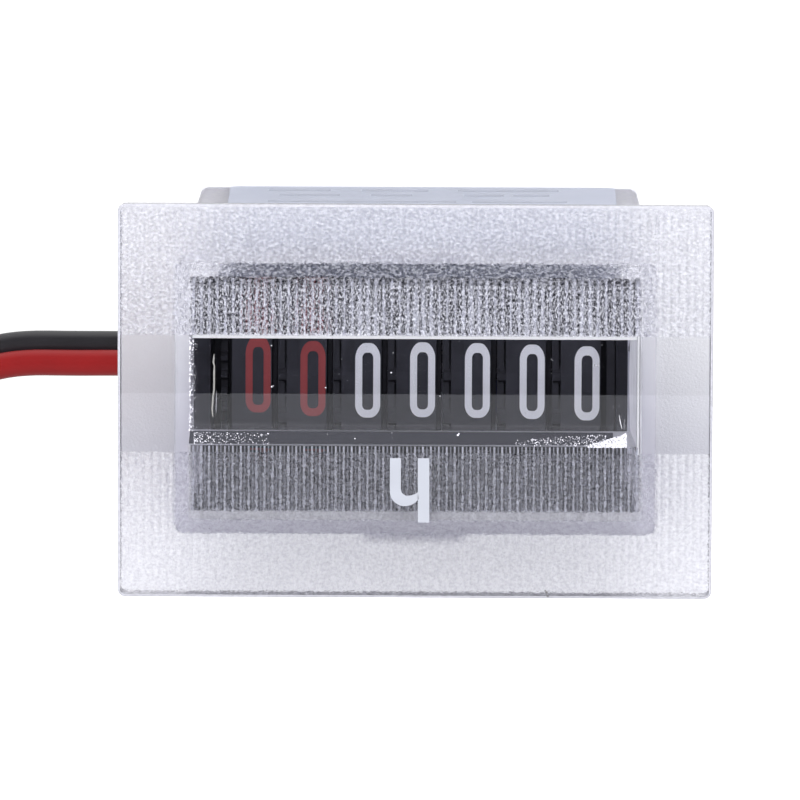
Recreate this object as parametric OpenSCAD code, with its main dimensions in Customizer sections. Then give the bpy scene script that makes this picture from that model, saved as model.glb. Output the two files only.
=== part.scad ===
// Panel hour meter with seven number wheels, 36 x 24 mm bezel.
// Frame: origin at the centre of the bezel's rear face, the panel plane.
// +Y points into the panel, the front faces -Y, +Z is up as the meter lies here
// (half a turn from the way it is read, so the fractions of an hour are at -X).

/* [Bezel] */
// Width of the bezel plate
bezel_w = 36; // [35.6:0.1:36.6]
// Height of the bezel plate
bezel_h = 24; // [23.6:0.1:24.6]
// Thickness of the bezel plate
bezel_t = 2; // [1.8:0.1:2.4]
// Corner radius of the bezel plate
bezel_r = 0.45; // [0.3:0.05:0.8]
// Draft of the bezel plate's sides, degrees
bezel_draft = 5; // [1:1:5]
// Width of the flat rim that lies against the panel
seat_rim = 0.5; // [0.4:0.1:0.8]
// Pitch of the fine vertical ribs on the plate's back
rib_pitch = 0.48; // [0.44:0.02:0.56]
// Depth of the fine ribs
rib_depth = 0.12; // [0.06:0.02:0.16]

/* [Body] */
// Outer width of the body at the panel plane
body_w = 29.14; // [28.9:0.02:29.3]
// Outer height of the body at the panel plane
body_h = 16.54; // [16.4:0.02:16.8]
// Length of the body behind the panel plane, without the rear cover
body_len = 39; // [38.6:0.1:40]
// Wall thickness of the body
body_wall = 0.85; // [0.75:0.05:0.85]
// Draft of the left and right walls, degrees
side_draft = 0.9; // [0.6:0.1:0.9]
// Draft of the top and bottom walls, degrees
top_draft = 0.5; // [0.3:0.1:0.5]
// Radius of the body's long edges
body_r = 0.6; // [0.5:0.1:0.9]

/* [Lens bar] */
// Depth of the lens bar behind the plate at its lower edge
bar_depth = 3; // [2.6:0.1:3.2]
// Height of the bar's lower edge at the plate
bar_lo = -2.87; // [-3:0.01:-2.7]
// Height of the bar's upper edge at the plate
bar_hi = 3.86; // [3.7:0.01:4]
// How far the bar's underside tapers upwards
bar_lo_taper = 0.68; // [0.4:0.02:0.8]
// How far the bar's top side tapers downwards
bar_hi_taper = 0.42; // [0.3:0.02:0.6]
// Radius of the lens surface
lens_r = 8; // [7.5:0.1:9]
// Height of the lens axis
lens_z = 1.1; // [0.9:0.05:1.2]

/* [Number wheels] */
// Radius of the number rings
wheel_r = 5.9; // [5.7:0.05:5.9]
// Width of a number ring
ring_w = 2.45; // [2.4:0.01:2.48]
// Distance from one wheel to the next
wheel_pitch = 3.348; // [3.34:0.002:3.36]
// Middle of the first ring, the hundredths
first_ring_x = -10.02; // [-10.06:0.01:-10]
// Depth of the wheel shaft behind the panel plane
axle_y = 13.6; // [13.5:0.05:13.8]
// Height of the wheel shaft
axle_z = 0.4; // [0.3:0.05:0.5]
// Radius of the wheel shaft
axle_r = 0.75; // [0.6:0.05:0.75]
// Angle of the transfer pinions round the wheel shaft, up from straight back
transfer_angle = 35; // [32:1:36]

/* [Gear train] */
// Module of the fine gears
train_m = 0.2; // [0.2:0.01:0.2]
// Teeth of the drive gear on the hundredths wheel
drive_z = 48; // [48:1:48]
// Teeth of the second wheel
second_z = 40; // [40:1:40]
// Teeth of the first wheel
first_z = 32; // [32:1:32]
// Teeth of every pinion
pinion_z = 8; // [8:1:8]
// Face width of the fine gears
train_w = 0.4; // [0.35:0.05:0.4]

/* [Motor] */
// Radius of the rotor magnet
magnet_r = 2.2; // [2:0.1:2.2]
// Length of the coil winding
coil_len = 7.36; // [7:0.02:7.36]
// Radius of the coil winding
coil_r = 2.05; // [1.8:0.05:2.1]

/* [Leads] */
// Outer diameter of a lead
lead_d = 1.7; // [1.5:0.1:1.7]
// Radius of a coil's inner turn, at the lead's middle
coil_turn_r = 7.9; // [7.8:0.1:8.4]

/* [Hidden] */

$fn = 64;
eps = 0.01;

// Half sizes of the body's outside and inside at a depth y
function out_x(y) = body_w / 2 - y * tan(side_draft);
function out_z(y) = body_h / 2 - y * tan(top_draft);
function in_x(y) = out_x(y) - body_wall;
function in_z(y) = out_z(y) - body_wall;

// Depth of the lens surface: its lowest edge lies at bar_depth
lens_lo_z = bar_lo + bar_lo_taper;
lens_y = bar_depth - sqrt(lens_r * lens_r - (lens_lo_z - lens_z) * (lens_lo_z - lens_z));
bar_left = -in_x(0) - 0.3;
bar_right = 13.42;
bar_end_taper = 0.6;

// Places across the meter, along X
cheek_in = -12.5;
cheek_out = -13;
right_cheek_in = 12.2;
right_cheek_out = 12.9;
second_x = -12.42;
drive_x = -11.92;
first_x = -11.2;

// Gear centres, as [y, z]
axle = [axle_y, axle_z];
transfer_m = 6.6 / 14;
transfer = axle + 6.6 * [cos(transfer_angle), sin(transfer_angle)];
second_c = axle + train_m * (drive_z + pinion_z) / 2 * [cos(-35), sin(-35)];
first_c = second_c + [train_m * (second_z + pinion_z) / 2, 0];
rotor_c = first_c + train_m * (first_z + pinion_z) / 2 * [cos(25), sin(25)];
post_a = [35.2, -3.9];
post_b = [31.6, 0.4];

// Direction from one centre to another, and the turn that puts gear 2 in mesh
function dir(a, b) = atan2(b[1] - a[1], b[0] - a[0]);
function meshed(a, b, z1, z2, turn1) =
    dir(a, b) + 180 + 180 / z2 + (dir(a, b) - turn1) * z1 / z2;

// Outline of a straight-sided gear: root, pitch and tip of each flank
function gear_points(z, m, tp, ta, tr, ha, hf) = [
    for (i = [0:z - 1]) for (k = [0:5])
        let (r = k == 0 || k == 5 ? m * (z / 2 - hf)
               : k == 1 || k == 4 ? m * z / 2 : m * (z / 2 + ha),
             w = k == 0 || k == 5 ? tr : k == 1 || k == 4 ? tp : ta,
             a = 360 * i / z + (k < 3 ? -1 : 1) * w * 180 * m / 2 / r)
        [r * cos(a), r * sin(a)]];

// A point at (y, z) with its local x along Y, local y along Z, local z along X
module at(x, c) translate([x, c[0], c[1]]) rotate([90, 0, 90]) children();

module wheel_gear(z, m, w, turn = 0)
    rotate([0, 0, turn]) linear_extrude(w)
        polygon(gear_points(z, m, 0.42, 0.2, 0.56, 0.75, 1.2));

module pinion_gear(z, m, w, turn = 0)
    rotate([0, 0, turn]) linear_extrude(w)
        polygon(gear_points(z, m, 0.4, 0.16, 0.5, 0.85, 1.2));

// A plate with rounded corners in the X-Z plane, from y0 on, t thick
module plate_xz(hx, hz, r, y0, t)
    translate([0, y0 + t, 0]) rotate([90, 0, 0]) linear_extrude(t) {
        square([2 * hx - 2 * r, 2 * hz], center = true);
        square([2 * hx, 2 * hz - 2 * r], center = true);
        for (x = [-1, 1], z = [-1, 1])
            translate([x * (hx - r), z * (hz - r)]) circle(r, $fn = 32);
    }

// A drafted box from y0 to y1 with half sizes given at both ends
module drafted(hx0, hz0, hx1, hz1, r, y0, y1)
    hull() {
        plate_xz(hx0, hz0, r, y0, eps, $fn = 32);
        plate_xz(hx1, hz1, r, y1 - eps, eps, $fn = 32);
    }

// Saw-tooth grooves across the plate's back, one every rib_pitch; the ribs'
// crests lie just below the rim, so that only the rim seats on the panel
rib_crest = -0.02;
module grooves(half)
    linear_extrude(2 * half, center = true)
        polygon(concat(
            [for (i = [-37:36]) for (k = [0:1])
                [rib_pitch * (i + k / 2), k == 0 ? rib_crest : -rib_depth]],
            [[rib_pitch * 37, rib_crest], [rib_pitch * 37, 1], [-rib_pitch * 37, 1]]));

module block(x0, x1, y0, y1, z0, z1)
    translate([x0, y0, z0]) cube([x1 - x0, y1 - y0, z1 - z0]);

// The lens bar: a tapered block whose back is cut to a cylinder along X
module lens_bar()
    difference() {
        intersection() {
            translate([bar_left, 0, 0]) rotate([90, 0, 90])
                linear_extrude(bar_right - bar_left)
                    polygon([[-0.3, bar_lo], [0, bar_lo],
                             [1.5 * bar_depth, bar_lo + 1.5 * bar_lo_taper],
                             [1.5 * bar_depth, bar_hi - 1.5 * bar_hi_taper],
                             [0, bar_hi], [-0.3, bar_hi]]);
            translate([bar_left - 1, lens_y, lens_z]) rotate([0, 90, 0])
                cylinder(h = bar_right - bar_left + 2, r = lens_r, $fn = 128);
        }
        // the free right-hand end tapers too
        translate([0, 0, -10]) linear_extrude(20)
            polygon([[bar_right, 0], [bar_right - bar_end_taper, bar_depth + 2],
                     [bar_right + 2, bar_depth + 2], [bar_right + 2, 0]]);
    }

// One clear moulding: bezel plate, box-shaped body, lens bar and snap wedges
module housing() color([0.86, 0.87, 0.92, 0.5]) {
    difference() {
        union() {
            drafted(bezel_w / 2, bezel_h / 2, bezel_w / 2 - bezel_t * tan(bezel_draft),
                    bezel_h / 2 - bezel_t * tan(bezel_draft), bezel_r, -bezel_t, 0);
            drafted(out_x(0), out_z(0), out_x(body_len), out_z(body_len), body_r, -eps, body_len);
            // snap wedges on the long walls
            for (s = [0, 1]) mirror([0, 0, s])
                translate([-3, 0, 0]) rotate([90, 0, 90]) linear_extrude(6)
                    polygon([[1.7, out_z(0) - 0.5], [1.7, out_z(0) + 0.6],
                             [2.1, out_z(0) + 0.6], [5.6, out_z(5.6) - 0.02], [5.6, out_z(0) - 0.5]]);
        }
        drafted(in_x(0), in_z(0), in_x(body_len), in_z(body_len), body_r - 0.4, 0, body_len + 1);
        // ribs inside the box, above and below the bar
        intersection() {
            grooves(13);
            union() {
                block(-in_x(0) + 0.1, in_x(0) - 0.1, -1, 0.5, bar_hi + 0.05, in_z(0) - 0.1);
                block(-in_x(0) + 0.1, in_x(0) - 0.1, -1, 0.5, -in_z(0) + 0.1, bar_lo - 0.05);
            }
        }
        // ribs on the back of the bezel, between the flat rim and the body
        intersection() {
            grooves(13);
            difference() {
                block(-bezel_w / 2 + seat_rim, bezel_w / 2 - seat_rim, -1, 0.5,
                      -bezel_h / 2 + seat_rim, bezel_h / 2 - seat_rim);
                block(-out_x(0) - 0.05, out_x(0) + 0.05, -2, 1, -out_z(0) - 0.05, out_z(0) + 0.05);
            }
        }
    }
    lens_bar();
}

// Plug-in rear cover with the slot for the two leads
lead_x = -5;
lead_z = -3.5;
module slot2(r, y0, y1) {
    for (s = [-1, 1]) translate([lead_x, y1, lead_z + s * 0.9]) rotate([90, 0, 0])
        cylinder(h = y1 - y0, r = r, $fn = 32);
    block(lead_x - r, lead_x + r, y0, y1, lead_z - 0.9, lead_z + 0.9);
}
module rear_cover() color([0.74, 0.75, 0.8]) difference() {
    union() {
        plate_xz(out_x(body_len), out_z(body_len), body_r, body_len, 1.2);
        difference() {
            plate_xz(in_x(body_len) - 0.06, in_z(body_len) - 0.06, 0.6, body_len - 2, 2);
            plate_xz(in_x(body_len) - 0.86, in_z(body_len) - 0.86, 0.4, body_len - 3, 3);
        }
        slot2(1.6, body_len + 1, body_len + 1.9);
    }
    slot2(0.95, body_len - 1, body_len + 3);
}

// Plain foil label on the top wall
module type_label() color([0.82, 0.85, 0.91])
    translate([0, 0, body_h / 2 + 0.01]) rotate([-top_draft, 0, 0])
        translate([-12, 6, 0]) cube([24.5, 32.6, 0.1]);

// Frame: floor plate, two cheeks, board rests and two motor posts
module counter_frame() color([0.1, 0.1, 0.12]) difference() {
    union() {
        block(cheek_out, right_cheek_out, 6.4, 36.6, -6.95, -6.25);
        block(cheek_out, cheek_in, 5.6, 36.8, -6.95, 6.6);
        block(right_cheek_in, right_cheek_out, 5.6, 23.2, -6.95, 6.6);
        // lip that closes the view past the wheels' left end
        block(cheek_out - 0.5, cheek_in, 5.6, 6.6, -3.6, 4.8);
        // the floor reaches forward to just behind the bezel's ribs
        block(cheek_out - 0.45, right_cheek_out + 0.4, 0.6, 7, -6.95, -6.25);
        // rests under the circuit board
        block(-5.6, -4.6, 24, 36.4, -6.3, -5.9);
        block(11.6, 12.6, 24, 36.4, -6.3, -5.9);
        at(cheek_in - 0.1, post_a) cylinder(h = 3.1, r = 1.3, $fn = 48);
        at(cheek_in - 0.1, post_b) cylinder(h = 3.1, r = 1.3, $fn = 48);
        at(cheek_in - 0.1, post_a) cylinder(h = 5.2, r = 0.95, $fn = 48);
        at(cheek_in - 0.1, post_b) cylinder(h = 5.2, r = 0.95, $fn = 48);
    }
    // the second wheel runs in a slot through the floor
    block(cheek_in, -11.9, second_c[0] - 4, second_c[0] + 4, -7.5, -6.1);
    at(-14, axle) cylinder(h = 28, r = axle_r, $fn = 48);
    at(-14, transfer) cylinder(h = 28, r = 0.5, $fn = 48);
    at(-14, second_c) cylinder(h = 3, r = 0.3, $fn = 32);
    at(-14, first_c) cylinder(h = 3, r = 0.3, $fn = 32);
    at(-14, rotor_c) cylinder(h = 3, r = 0.33, $fn = 32);
    at(-10.4, post_a) cylinder(h = 4, r = 0.5, $fn = 32);
    at(-10.4, post_b) cylinder(h = 4, r = 0.5, $fn = 32);
}

module wheel_shaft() color([0.75, 0.75, 0.77])
    at(cheek_out, axle) cylinder(h = right_cheek_out - cheek_out, r = axle_r, $fn = 48);

module pinion_shaft() color([0.75, 0.75, 0.77])
    at(cheek_out, transfer) cylinder(h = right_cheek_out - cheek_out, r = 0.5, $fn = 48);

// Number wheel i, 0 for the hundredths: ring, web, hub, 20-tooth gear on its
// left and, but on the last, the disc that carries to the next on its right
module number_wheel(i) {
    x0 = first_ring_x + i * wheel_pitch - ring_w / 2;
    at(x0, axle) difference() {
        union() {
            difference() {
                cylinder(h = ring_w, r = wheel_r, $fn = 96);
                translate([0, 0, 0.7]) cylinder(h = ring_w, r = wheel_r - 0.7, $fn = 96);
            }
            cylinder(h = i < 6 ? ring_w + 0.31 : ring_w + 0.7, r = 1.5, $fn = 48);
            if (i > 0) translate([0, 0, -0.46]) wheel_gear(20, transfer_m, 0.5);
            if (i < 6) translate([0, 0, ring_w + 0.06]) {
                cylinder(h = 0.25, r = 3.9, $fn = 96);
                for (a = [-9, 9]) rotate([0, 0, a + 36]) translate([3.5, -0.3, 0])
                    cube([0.68, 0.6, 0.25]);
            }
            if (i == 0) {
                translate([0, 0, -0.3]) cylinder(h = 0.5, r = 2, $fn = 48);
                translate([0, 0, drive_x - x0])
                    wheel_gear(drive_z, train_m, train_w,
                        meshed(second_c, axle, pinion_z, drive_z, 0));
                translate([0, 0, cheek_in + 0.15 - x0]) cylinder(h = 1, r = 1.1, $fn = 48);
            }
        }
        translate([0, 0, -3]) cylinder(h = 8, r = axle_r + 0.03, $fn = 48);
    }
}
module hundredths_wheel() color([0.12, 0.12, 0.14]) number_wheel(0);
module tenths_wheel() color([0.12, 0.12, 0.14]) number_wheel(1);
module ones_wheel() color([0.12, 0.12, 0.14]) number_wheel(2);
module tens_wheel() color([0.12, 0.12, 0.14]) number_wheel(3);
module hundreds_wheel() color([0.12, 0.12, 0.14]) number_wheel(4);
module thousands_wheel() color([0.12, 0.12, 0.14]) number_wheel(5);
module ten_thousands_wheel() color([0.12, 0.12, 0.14]) number_wheel(6);

// Transfer pinion i between wheels i - 1 and i: all teeth reach the next
// wheel's gear, every second one also the carry disc
module transfer_pinion(i) color([0.85, 0.85, 0.82]) {
    x0 = first_ring_x + i * wheel_pitch - ring_w / 2 - (wheel_pitch - ring_w) + 0.07;
    turn = meshed(axle, transfer, 20, 8, 0);
    at(x0, transfer) difference() {
        union() {
            translate([0, 0, 0.33]) pinion_gear(8, transfer_m, 0.42, turn);
            cylinder(h = 0.5, r = 1.32, $fn = 48);
            for (k = [0:3]) rotate([0, 0, turn + 90 * k])
                translate([1, -0.2, 0]) cube([1.25, 0.4, 0.5]);
        }
        translate([0, 0, -1]) cylinder(h = 3, r = 0.53, $fn = 48);
    }
}

// Fixed studs of the gear train
module train_studs() color([0.75, 0.75, 0.77]) {
    at(cheek_out, second_c) cylinder(h = 1.65, r = 0.3, $fn = 32);
    at(cheek_out, first_c) cylinder(h = 6.2, r = 0.3, $fn = 32);
}

// First wheel, driven by the rotor, with its pinion
module first_wheel() color([0.93, 0.93, 0.9]) at(second_x, first_c) difference() {
    union() {
        pinion_gear(pinion_z, train_m, first_x - second_x + 0.1);
        translate([0, 0, first_x - second_x])
            wheel_gear(first_z, train_m, train_w,
                meshed(rotor_c, first_c, pinion_z, first_z, 0));
        translate([0, 0, first_x - second_x]) cylinder(h = 1, r = 0.8, $fn = 32);
    }
    translate([0, 0, -1]) cylinder(h = 5, r = 0.33, $fn = 32);
}

// Second wheel, with the pinion that drives the hundredths wheel
module second_wheel() color([0.93, 0.93, 0.9]) at(second_x, second_c) difference() {
    union() {
        wheel_gear(second_z, train_m, 0.36,
            meshed(first_c, second_c, pinion_z, second_z, 0));
        pinion_gear(pinion_z, train_m, 0.97);
    }
    translate([0, 0, -1]) cylinder(h = 3, r = 0.33, $fn = 32);
}

// Stepping motor: magnet, pinion and shaft of the rotor
module rotor_magnet() color([0.2, 0.2, 0.22]) at(-10.4, rotor_c) difference() {
    cylinder(h = 2.4, r = magnet_r, $fn = 64);
    translate([0, 0, -1]) cylinder(h = 5, r = 0.3, $fn = 32);
}
module rotor_pinion() color([0.85, 0.7, 0.35]) at(-11.35, rotor_c) difference() {
    union() {
        pinion_gear(pinion_z, train_m, 0.8);
        translate([0, 0, 0.75]) cylinder(h = 0.2, r = 0.8, $fn = 32);
    }
    translate([0, 0, -1]) cylinder(h = 3, r = 0.3, $fn = 32);
}
module rotor_shaft() color([0.75, 0.75, 0.77])
    at(-12.9, rotor_c) cylinder(h = 6.05, r = 0.3, $fn = 32);

// Stator sheet with the rotor hole, post holes and two arms for the core
core_z = 4.1;
module stator() color([0.62, 0.62, 0.64]) difference() {
    union() {
        block(-9.5, -8.9, 23.6, 36.4, -5.1, 1.6);
        block(-9.5, -8.9, 23.6, 25.7, 1.4, 4.9);
        block(-9.5, -8.9, 34.7, 36.4, 1.4, 4.9);
    }
    at(-10, rotor_c) cylinder(h = 2, r = magnet_r + 0.3, $fn = 64);
    at(-10, post_a) cylinder(h = 2, r = 0.97, $fn = 48);
    at(-10, post_b) cylinder(h = 2, r = 0.97, $fn = 48);
}
module coil_core() color([0.62, 0.62, 0.64])
    block(-8.9, -8.3, 23.7, 36.3, core_z - 0.7, core_z + 0.7);
module coil_bobbin() color([0.9, 0.88, 0.8]) difference() {
    translate([-8.6, 26.2, core_z]) rotate([-90, 0, 0]) {
        cylinder(h = 0.4, r = coil_r + 0.25, $fn = 64);
        cylinder(h = 8.2, r = 1.05, $fn = 48);
        translate([0, 0, 7.8]) cylinder(h = 0.4, r = coil_r + 0.25, $fn = 64);
    }
    block(-8.93, -8.27, 26, 35, core_z - 0.73, core_z + 0.73);
}
module coil_winding() color([0.72, 0.4, 0.2])
    translate([-8.6, 26.62, core_z]) rotate([-90, 0, 0]) difference() {
        cylinder(h = coil_len, r = coil_r, $fn = 64);
        translate([0, 0, -1]) cylinder(h = coil_len + 2, r = 1.06, $fn = 48);
    }

// Bridge that holds the rotor's other end, and its two screws
module motor_bridge() color([0.86, 0.86, 0.84]) difference() {
    block(-7.4, -6.8, 22.2, 36.6, -5.3, 1.45);
    at(-8, rotor_c) cylinder(h = 2, r = 0.33, $fn = 32);
    at(-8, first_c) cylinder(h = 2, r = 0.3, $fn = 32);
    at(-8, post_a) cylinder(h = 2, r = 0.53, $fn = 32);
    at(-8, post_b) cylinder(h = 2, r = 0.53, $fn = 32);
}
module bridge_screws() color([0.7, 0.7, 0.72])
    for (c = [post_a, post_b]) difference() {
        union() {
            at(-10.2, c) cylinder(h = 3.5, r = 0.48, $fn = 32);
            at(-6.8, c) cylinder(h = 0.6, r = 0.95, $fn = 48);
        }
        translate([-6.45, c[0] - 0.12, c[1] - 1]) cube([1, 0.24, 2]);
    }

// Electronics
module circuit_board() color([0.12, 0.38, 0.22])
    block(-5.6, 12.6, 23.8, 36.5, -5.9, -5.1);
module driver_chip() color([0.1, 0.1, 0.1]) {
    block(-1.6, 3.3, 27.6, 31.5, -5, -3.6);
    block(-2, 3.7, 28, 31.1, -5.1, -4.9);
}
module quartz_crystal() color([0.8, 0.8, 0.82])
    translate([-3.4, 25.6, -4.05]) rotate([0, 90, 0]) cylinder(h = 6.2, r = 1.03, $fn = 48);
module capacitor() color([0.12, 0.14, 0.3])
    translate([4.9, 33.2, -2.58]) rotate([0, 90, 0]) cylinder(h = 7, r = 2.5, $fn = 64);
module rectifier_diode() color([0.12, 0.12, 0.13])
    translate([6.2, 26, -4.23]) rotate([0, 90, 0]) cylinder(h = 3.6, r = 0.85, $fn = 48);
module resistors() color([0.15, 0.15, 0.16])
    for (i = [0:1]) {
        block(-4.9, -3.6, 27.2 + 2.6 * i, 29.2 + 2.6 * i, -5.1, -4.6);
        block(0.2 + 2.2 * i, 1.5 + 2.2 * i, 32.8, 34.8, -5.1, -4.6);
    }

// Leads: routes from the board out of the slot, to the left and down
red_route = [[-5.1, 34, -4.22], [-5.1, 36, -4.25], [-5.05, 38, -4.4], [-5, 40, -4.4],
    [-5, 42.2, -4.4], [-6.2, 44.7, -4.4], [-9, 45.8, -4.4], [-13, 46, -4.4],
    [-17.5, 46, -4.4], [-22, 46, -4.42], [-26, 46, -4.5], [-29, 46, -5.35],
    [-32, 46, -7.4], [-35, 46, -9.5], [-38, 46, -10.85], [-41, 46, -11.15], [-43.5, 46, -11.15]];
black_route = [[-3.2, 34, -4.22], [-3.35, 35.6, -3.5], [-4.1, 37, -2.7], [-5, 38.9, -2.55],
    [-5, 42.2, -2.55], [-5.9, 45.3, -2.6], [-9, 47.1, -2.95], [-13, 47.45, -3.3],
    [-17.5, 47.5, -3.38], [-22, 47.5, -3.38], [-26, 47.5, -3.45], [-29, 47.45, -4.2],
    [-32, 47.35, -5.95], [-35, 47.1, -7.9], [-38, 46.7, -9.15], [-41, 46.25, -9.43], [-43.5, 46.1, -9.44]];
coil_c = [-45, 36.4];

// A smooth curve through the route's points, two pieces a stretch
function at_route(p, i) = p[max(0, min(len(p) - 1, i))];
function spline(p, i, t) =
    let (a = at_route(p, i - 1), b = at_route(p, i), c = at_route(p, i + 1), d = at_route(p, i + 2))
    0.5 * (2 * b + (c - a) * t + (2 * a - 5 * b + 4 * c - d) * t * t
        + (3 * b - a - 3 * c + d) * t * t * t);
function smooth(p, n) = concat(
    [for (i = [0:len(p) - 2]) for (k = [0:n - 1]) spline(p, i, k / n)], [p[len(p) - 1]]);
function unit(v) = v / norm(v);
function ring_at(q, i, r, n) =
    let (t = unit(q[min(len(q) - 1, i + 1)] - q[max(0, i - 1)]),
         s = unit(cross(t, [0, 0, 1])), u = cross(s, t))
    [for (k = [0:n - 1]) q[i] + r * (cos(360 * k / n) * s + sin(360 * k / n) * u)];
module tube(route, r) {
    n = 8;
    q = smooth(route, 2);
    m = len(q);
    polyhedron(
        [for (i = [0:m - 1]) each ring_at(q, i, r, n)],
        concat(
            [[for (k = [0:n - 1]) k]],
            [for (i = [0:m - 2]) for (k = [0:n - 1])
                [i * n + k, (i + 1) * n + k, (i + 1) * n + (k + 1) % n, i * n + (k + 1) % n]],
            [[for (k = [n - 1:-1:0]) (m - 1) * n + k]]));
}
module red_lead() color([0.6, 0.12, 0.12]) tube(red_route, lead_d / 2);
module black_lead() color([0.1, 0.1, 0.11]) tube(black_route, lead_d / 2);
// Outer shape of the two turns of each lead that lie in its coil
module coil_ring(z0)
    translate([coil_c[0], coil_c[1], z0]) rotate_extrude($fn = 96)
        translate([coil_turn_r - lead_d / 2, 0]) square([2 * lead_d, lead_d]);
module red_lead_coil() color([0.6, 0.12, 0.12]) coil_ring(-bezel_h / 2);
module black_lead_coil() color([0.1, 0.1, 0.11]) coil_ring(-bezel_h / 2 + lead_d);

housing();
rear_cover();
type_label();
counter_frame();
wheel_shaft();
hundredths_wheel();
tenths_wheel();
ones_wheel();
tens_wheel();
hundreds_wheel();
thousands_wheel();
ten_thousands_wheel();
pinion_shaft();
transfer_pinion(1);  // transfer_pinion_1
transfer_pinion(2);  // transfer_pinion_2
transfer_pinion(3);  // transfer_pinion_3
transfer_pinion(4);  // transfer_pinion_4
transfer_pinion(5);  // transfer_pinion_5
transfer_pinion(6);  // transfer_pinion_6
train_studs();
first_wheel();
second_wheel();
rotor_magnet();
rotor_pinion();
rotor_shaft();
stator();
coil_core();
coil_bobbin();
coil_winding();
motor_bridge();
bridge_screws();
circuit_board();
driver_chip();
quartz_crystal();
capacitor();
rectifier_diode();
resistors();
red_lead();
black_lead();
red_lead_coil();
black_lead_coil();
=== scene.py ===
"""Looks of a panel hour meter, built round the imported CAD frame. All sizes below are in millimetres in the row frame."""

import math
import random

import bpy
import numpy as np
from mathutils import Matrix, Vector


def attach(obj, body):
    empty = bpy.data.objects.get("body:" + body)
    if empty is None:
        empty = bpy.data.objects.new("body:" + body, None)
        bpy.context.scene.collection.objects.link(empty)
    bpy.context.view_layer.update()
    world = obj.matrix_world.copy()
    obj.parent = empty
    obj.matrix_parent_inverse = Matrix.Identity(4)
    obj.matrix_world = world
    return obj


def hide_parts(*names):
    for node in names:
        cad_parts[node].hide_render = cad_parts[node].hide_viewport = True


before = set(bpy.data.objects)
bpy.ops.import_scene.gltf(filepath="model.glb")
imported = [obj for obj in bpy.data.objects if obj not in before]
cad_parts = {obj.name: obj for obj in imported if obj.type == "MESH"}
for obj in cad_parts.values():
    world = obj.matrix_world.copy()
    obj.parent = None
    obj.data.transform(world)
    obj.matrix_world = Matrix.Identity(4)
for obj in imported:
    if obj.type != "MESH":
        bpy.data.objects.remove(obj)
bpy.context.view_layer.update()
MM = 0.001
rng = random.Random(11)
scene = bpy.context.scene
scene.view_settings.view_transform = "Standard"
scene.view_settings.look = "None"
scene.cycles.max_bounces = 24
scene.cycles.glossy_bounces = 16
scene.cycles.transmission_bounces = 24
scene.cycles.transparent_max_bounces = 24
scene.cycles.diffuse_bounces = 4

# ------------------------------------------------------------------ camera
TH, PSI, ROLL = math.radians(8.15), math.radians(-0.25), math.radians(0.236)
DIST, F_PX, CX, CY = 0.7, 11584.0, 415.2, 402.1
fwd = Vector((math.sin(PSI) * math.cos(TH), math.cos(PSI) * math.cos(TH), -math.sin(TH)))
right = fwd.cross(Vector((0, 0, 1))).normalized()
up = right.cross(fwd)
r2 = right * math.cos(ROLL) + up * math.sin(ROLL)
u2 = up * math.cos(ROLL) - right * math.sin(ROLL)
eye = Vector((0, -2 * MM, 0)) - fwd * DIST
cam_data = bpy.data.cameras.new("camera")
cam_data.sensor_fit = "HORIZONTAL"
cam_data.sensor_width = 36.0
cam_data.lens = F_PX * 36.0 / 800
cam_data.shift_x = (400 - CX) / 800
cam_data.shift_y = (CY - 400) / 800
cam_data.clip_start = 0.01
cam_data.clip_end = 20
cam = bpy.data.objects.new("camera", cam_data)
scene.collection.objects.link(cam)
cam.matrix_world = Matrix(
    (
        (r2.x, u2.x, -fwd.x, eye.x),
        (r2.y, u2.y, -fwd.y, eye.y),
        (r2.z, u2.z, -fwd.z, eye.z),
        (0, 0, 0, 1),
    )
)
scene.camera = cam


# ------------------------------------------------------------------ materials
def nodes_of(name):
    m = bpy.data.materials.new(name)
    m.use_nodes = True
    nt = m.node_tree
    nt.nodes.clear()
    out = nt.nodes.new("ShaderNodeOutputMaterial")
    b = nt.nodes.new("ShaderNodeBsdfPrincipled")
    nt.links.new(b.outputs[0], out.inputs["Surface"])
    return m, nt, b, out


def math_node(nt, op, a, b=None, c=None):
    n = nt.nodes.new("ShaderNodeMath")
    n.operation = op
    for i, x in enumerate((a, b, c)):
        if x is None:
            continue
        if isinstance(x, (int, float)):
            n.inputs[i].default_value = x
        else:
            nt.links.new(x, n.inputs[i])
    return n.outputs[0]


def noise(nt, scale, detail=3.0, rough=0.5, stretch=None, kind="ShaderNodeTexNoise"):
    tc = nt.nodes.new("ShaderNodeTexCoord")
    src = tc.outputs["Object"]
    if stretch is not None:
        mp = nt.nodes.new("ShaderNodeMapping")
        mp.inputs["Scale"].default_value = stretch
        nt.links.new(src, mp.inputs["Vector"])
        src = mp.outputs["Vector"]
    n = nt.nodes.new(kind)
    n.inputs["Scale"].default_value = scale
    if kind == "ShaderNodeTexNoise":
        n.inputs["Detail"].default_value = detail
        n.inputs["Roughness"].default_value = rough
    nt.links.new(src, n.inputs["Vector"])
    return n


def mixed(nt, fac, a, b):
    """Colour a where fac is 0 and b where it is 1."""
    n = nt.nodes.new("ShaderNodeMix")
    n.data_type = "RGBA"
    if isinstance(fac, (int, float)):
        n.inputs["Factor"].default_value = fac
    else:
        nt.links.new(fac, n.inputs["Factor"])
    for i, x in ((6, a), (7, b)):
        if isinstance(x, tuple):
            n.inputs[i].default_value = (*x, 1) if len(x) == 3 else x
        else:
            nt.links.new(x, n.inputs[i])
    return n.outputs[2]


def ramp(nt, fac, lo, hi, out_lo=0.0, out_hi=1.0):
    n = nt.nodes.new("ShaderNodeMapRange")
    n.inputs["From Min"].default_value = lo
    n.inputs["From Max"].default_value = hi
    n.inputs["To Min"].default_value = out_lo
    n.inputs["To Max"].default_value = out_hi
    nt.links.new(fac, n.inputs["Value"])
    return n.outputs["Result"]


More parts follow.
